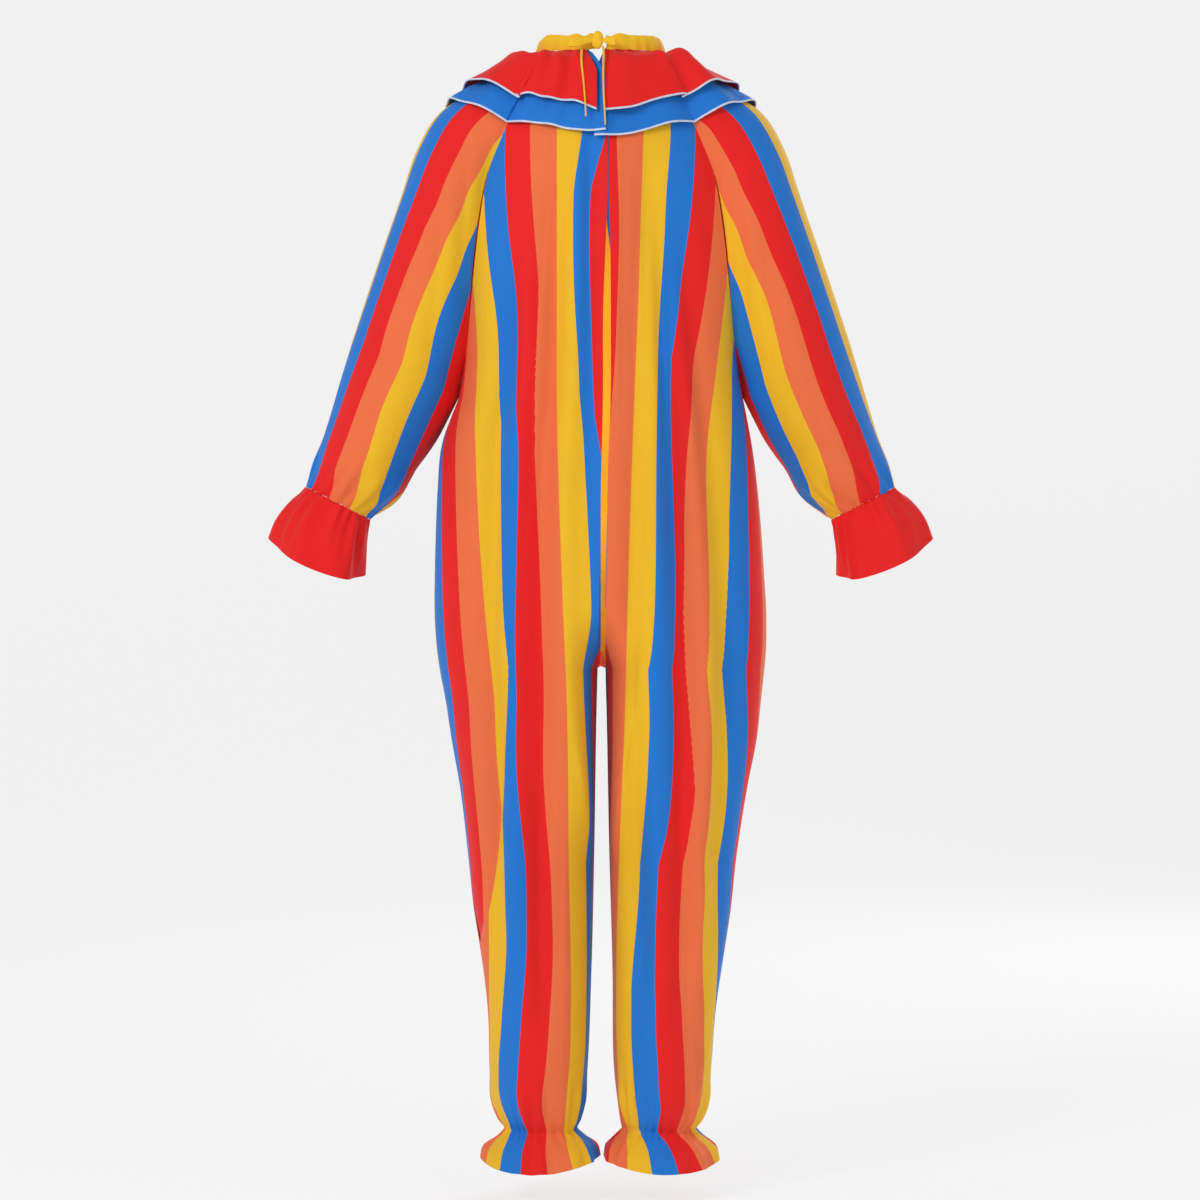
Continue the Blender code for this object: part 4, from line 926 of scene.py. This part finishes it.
def neckband():
    """The gathered casing that stands round the neck, from one end of the opening to the other."""
    ends = (NECKBAND_END, NECKBAND_END)
    ring = yoke_ring(0.0, ends, NECKBAND_CUTS)
    lower = yoke_ring(NECKBAND_DOWN, ends, NECKBAND_CUTS)
    share = np.linspace(0, 1, NECKBAND_CUTS + 1)
    shoulder = np.sin(2 * math.pi * share) ** 2
    square = unit(np.cross(np.gradient(ring, axis=0), lower - ring))
    foot = ring + (lower - ring) * (1 - NECKBAND_RISE * shoulder)[:, None] + square * NECKBAND_OUT
    up = unit(unit(ring - lower) * NECKBAND_LEAN + np.array((0, 0, 1 - NECKBAND_LEAN)))
    foot = foot - up * (NECKBAND_DROP * (1 - shoulder))[:, None]
    out = unit(np.cross(np.gradient(ring, axis=0), -up))
    tight = ripple(share, NECKBAND_FINE, 71)
    loose = ripple(share, NECKBAND_BROAD, 72)
    rows = []
    for high in np.linspace(1, 0, NECKBAND_ROWS):
        height = NECKBAND_HEIGHT * high + NECKBAND_LOOSE * loose * high ** 2
        height = height - NECKBAND_PINCH * (1 + tight) * (1 - high) ** 3
        height = height - NECKBAND_TUCK * (1 - high) ** 2 * shoulder
        bulge = NECKBAND_BULGE * math.sin(math.pi * high) + NECKBAND_TIGHT * tight * (1 - 0.5 * high)
        bulge = bulge + NECKBAND_FALL * loose * high
        rows.append(foot + up * height[:, None] + out * bulge[:, None])
    points = np.array(rows)
    return shell("cloth_neckband", points, row_run(points), NECKBAND_CLOTH, 1, yellow_cloth)


def loop(name, reach, sag, material):
    """One flat loop of the bow: a band that runs out, turns and comes back."""
    turn = np.linspace(0, math.pi, 25)
    side = math.copysign(1, reach)
    start = KNOT_AT[0] + side * (KNOT_SIZE[0] / 2 - 0.0010)
    length = abs(reach) - KNOT_SIZE[0] / 2
    leg = np.linspace(0, 1, 14)[:-1]
    straight = 1 - LOOP_BEND
    out = np.concatenate((leg * straight, straight + LOOP_BEND * np.sin(turn), (leg * straight)[::-1]))
    near = np.concatenate((0.3 + 0.7 * smooth(leg), np.cos(turn), -(0.3 + 0.7 * smooth(leg))[::-1]))
    wide = 0.42 + 0.58 * np.sin(np.clip(out, 0, 0.9) / 0.9 * math.pi / 2) ** 1.5
    wide = wide * (1 - 0.35 * smooth((out - 0.6) / 0.4))
    across = np.linspace(1, -1, 9)
    line = np.stack((start + side * length * out, KNOT_AT[1] + LOOP_LEAN * out + LOOP_DEEP / 2 * near,
                     KNOT_AT[2] - sag * out), 1)
    tilt = np.stack((0.10 * near, np.zeros_like(near), np.ones_like(near)), 1)
    half = LOOP_HIGH / 2 * wide[:, None] * tilt
    cup = LOOP_CUP * np.sin(np.linspace(0, 3 * math.pi, len(out)))
    points = np.array([line + half * a + np.array((0, 1, 0)) * (cup * (1 - a * a))[:, None] for a in across])
    return shell(name, points, row_run(points), LOOP_CLOTH, -side, material)


def knot(material):
    """The knot: a fat band wrapped round the ties, with the end of its turn standing up."""
    turn = np.linspace(0, 2 * math.pi, 40, endpoint=False)
    rise = np.linspace(-math.pi / 2, math.pi / 2, 25)
    half = np.array(KNOT_SIZE) / 2
    rings = []
    for r in rise:
        groove = 1 - 0.10 * np.exp(-((math.sin(r) - 0.25 + 0.25 * np.sin(turn)) / 0.12) ** 2)
        lump = groove * (1 + 0.06 * np.cos(3 * turn + 1.0 + 2 * r)) * max(math.cos(r), 0.02)
        rings.append(np.stack((half[0] * np.cos(turn) * lump, half[1] * np.sin(turn) * lump,
                               np.full(40, half[2] * math.sin(r))), 1))
    points = np.array(rings)[::-1] + np.array(KNOT_AT)
    rows, columns = points.shape[:2]
    vertices = np.concatenate((points.reshape(-1, 3), points[:1].mean(1), points[-1:].mean(1)))
    faces = []
    for i in range(rows - 1):
        for j in range(columns):
            n = (j + 1) % columns
            faces.append((i * columns + n, i * columns + j, (i + 1) * columns + j, (i + 1) * columns + n))
    for j in range(columns):
        n = (j + 1) % columns
        faces.append((rows * columns, j, n))
        faces.append((rows * columns + 1, (rows - 1) * columns + n, (rows - 1) * columns + j))
    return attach(add_mesh("bow_knot", vertices, faces, material), "root")


def smooth_route(points, count):
    """Evenly spaced points on a smooth curve through the route's own points."""
    table = {"down": np.arange(len(points), dtype=float)}
    for k, axis in enumerate("xyz"):
        table[axis] = points[:, k]
    fine = np.linspace(0, len(points) - 1, 400)
    line = np.stack([through(table, axis, fine) for axis in "xyz"], 1)
    run = np.concatenate(((0,), np.cumsum(np.linalg.norm(np.diff(line, axis=0), axis=1))))
    at = np.linspace(0, run[-1], count)
    return np.stack([np.interp(at, run, line[:, k]) for k in range(3)], 1), float(run[-1])


def tail(name, route, node):
    """A free end of the tie, thinner towards its tip."""
    points, length = smooth_route(np.array(route), 48)
    curve = bpy.data.curves.new(name, "CURVE")
    curve.dimensions = "3D"
    curve.bevel_depth = TIE_WIDTH / 2
    curve.bevel_resolution = 3
    curve.use_fill_caps = True
    spline = curve.splines.new("POLY")
    spline.points.add(len(points) - 1)
    for k, (point, at) in enumerate(zip(spline.points, points)):
        point.co = (*at, 1)
        point.radius = 1.0 - TAIL_TAPER * k / (len(points) - 1)
    curve.materials.append(tie_cloth)
    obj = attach(place(name, curve), "root")
    finish_cloth(node)


band = neckband()
finish_cloth("neckband")
bow = knot(yellow_cloth)
finish_cloth("tie_knot")
for side, reach, sag in (("left", LOOP_LEFT, 0.006), ("right", -LOOP_RIGHT, 0.004)):
    made = loop(f"bow_loop_{side}", reach, sag, yellow_cloth)
    finish_cloth(f"tie_loop_{side}")
tail("tie_end_left", TAIL_LEFT, "tie_tail_left")
tail("tie_end_right", TAIL_RIGHT, "tie_tail_right")

# Stage ---------------------------------------------------------------------------------------

FLOOR_Z, BACKDROP_GLOW = -1.475, 0.70
CAMERA_AT, LENS = (0.001, 4.5, -0.713), 105.5
MIDDLE = (0.0, 0.0, -0.70)
LIGHT_COLUMNS = ("name", "at", "size", "power")
LIGHTS = (
    ("key", (2.6, 3.6, 1.6), 1.9, 92),
    ("fill", (-3.2, 3.0, 0.2), 3.0, 22),
    ("front_key", (-2.2, -3.4, 1.4), 2.4, 60),
)
INNER_HEIGHTS, INNER_POWER = (-0.30, -0.46, -0.62), 0.35
WORLD_LIGHT = 0.50


def backdrop():
    """A pale floor that curves up into a wall behind the costume."""
    bend = np.linspace(0, math.pi / 2, 24)
    radius, wall_y, near_y, top = 1.5, -6.5, 9.0, 6.0
    profile = [(near_y, FLOOR_Z)]
    profile += [(wall_y + radius * (1 - math.sin(b)), FLOOR_Z + radius * (1 - math.cos(b))) for b in bend]
    profile += [(wall_y, top)]
    vertices = np.array([(x, y, z) for y, z in profile for x in (-9.0, 9.0)])
    faces = [(2 * k, 2 * k + 2, 2 * k + 3, 2 * k + 1) for k in range(len(profile) - 1)]
    made, _, shader = new_material("backdrop", 1.0, 0.0)
    shader.inputs["Base Color"].default_value = (0.24, 0.24, 0.24, 1)
    shader.inputs["Emission Color"].default_value = (1.0, 1.0, 1.0, 1)
    shader.inputs["Emission Strength"].default_value = BACKDROP_GLOW
    add_mesh("backdrop", vertices, faces, made)


def area_light(name, at, size, power):
    light = bpy.data.lights.new(name, "AREA")
    light.shape = "DISK"
    light.size = size
    light.energy = power
    obj = place(name, light, at)
    obj.rotation_euler = (Vector(MIDDLE) - Vector(at)).to_track_quat("-Z", "Y").to_euler()


def inner_light(name, at, power):
    """A small soft light inside the costume, so that its inside can be seen through the back opening."""
    light = bpy.data.lights.new(name, "POINT")
    light.shadow_soft_size = 0.04
    light.energy = power
    place(name, light, at)


backdrop()
for row in LIGHTS:
    area_light(**dict(zip(LIGHT_COLUMNS, row)))
for height in INNER_HEIGHTS:
    inner_light("inner", (0.0, -0.02, height), INNER_POWER)
world = bpy.data.worlds.new("studio")
world.use_nodes = True
world.node_tree.nodes["Background"].inputs["Color"].default_value = (1.0, 1.0, 1.0, 1)
world.node_tree.nodes["Background"].inputs["Strength"].default_value = WORLD_LIGHT
bpy.context.scene.world = world
bpy.context.scene.view_settings.view_transform = "Standard"

camera = bpy.data.cameras.new("camera")
camera.sensor_width = 36.0
camera.lens = LENS
camera_obj = place("camera", camera, CAMERA_AT)
camera_obj.rotation_euler = (math.pi / 2, 0.0, math.pi)
bpy.context.scene.camera = camera_obj
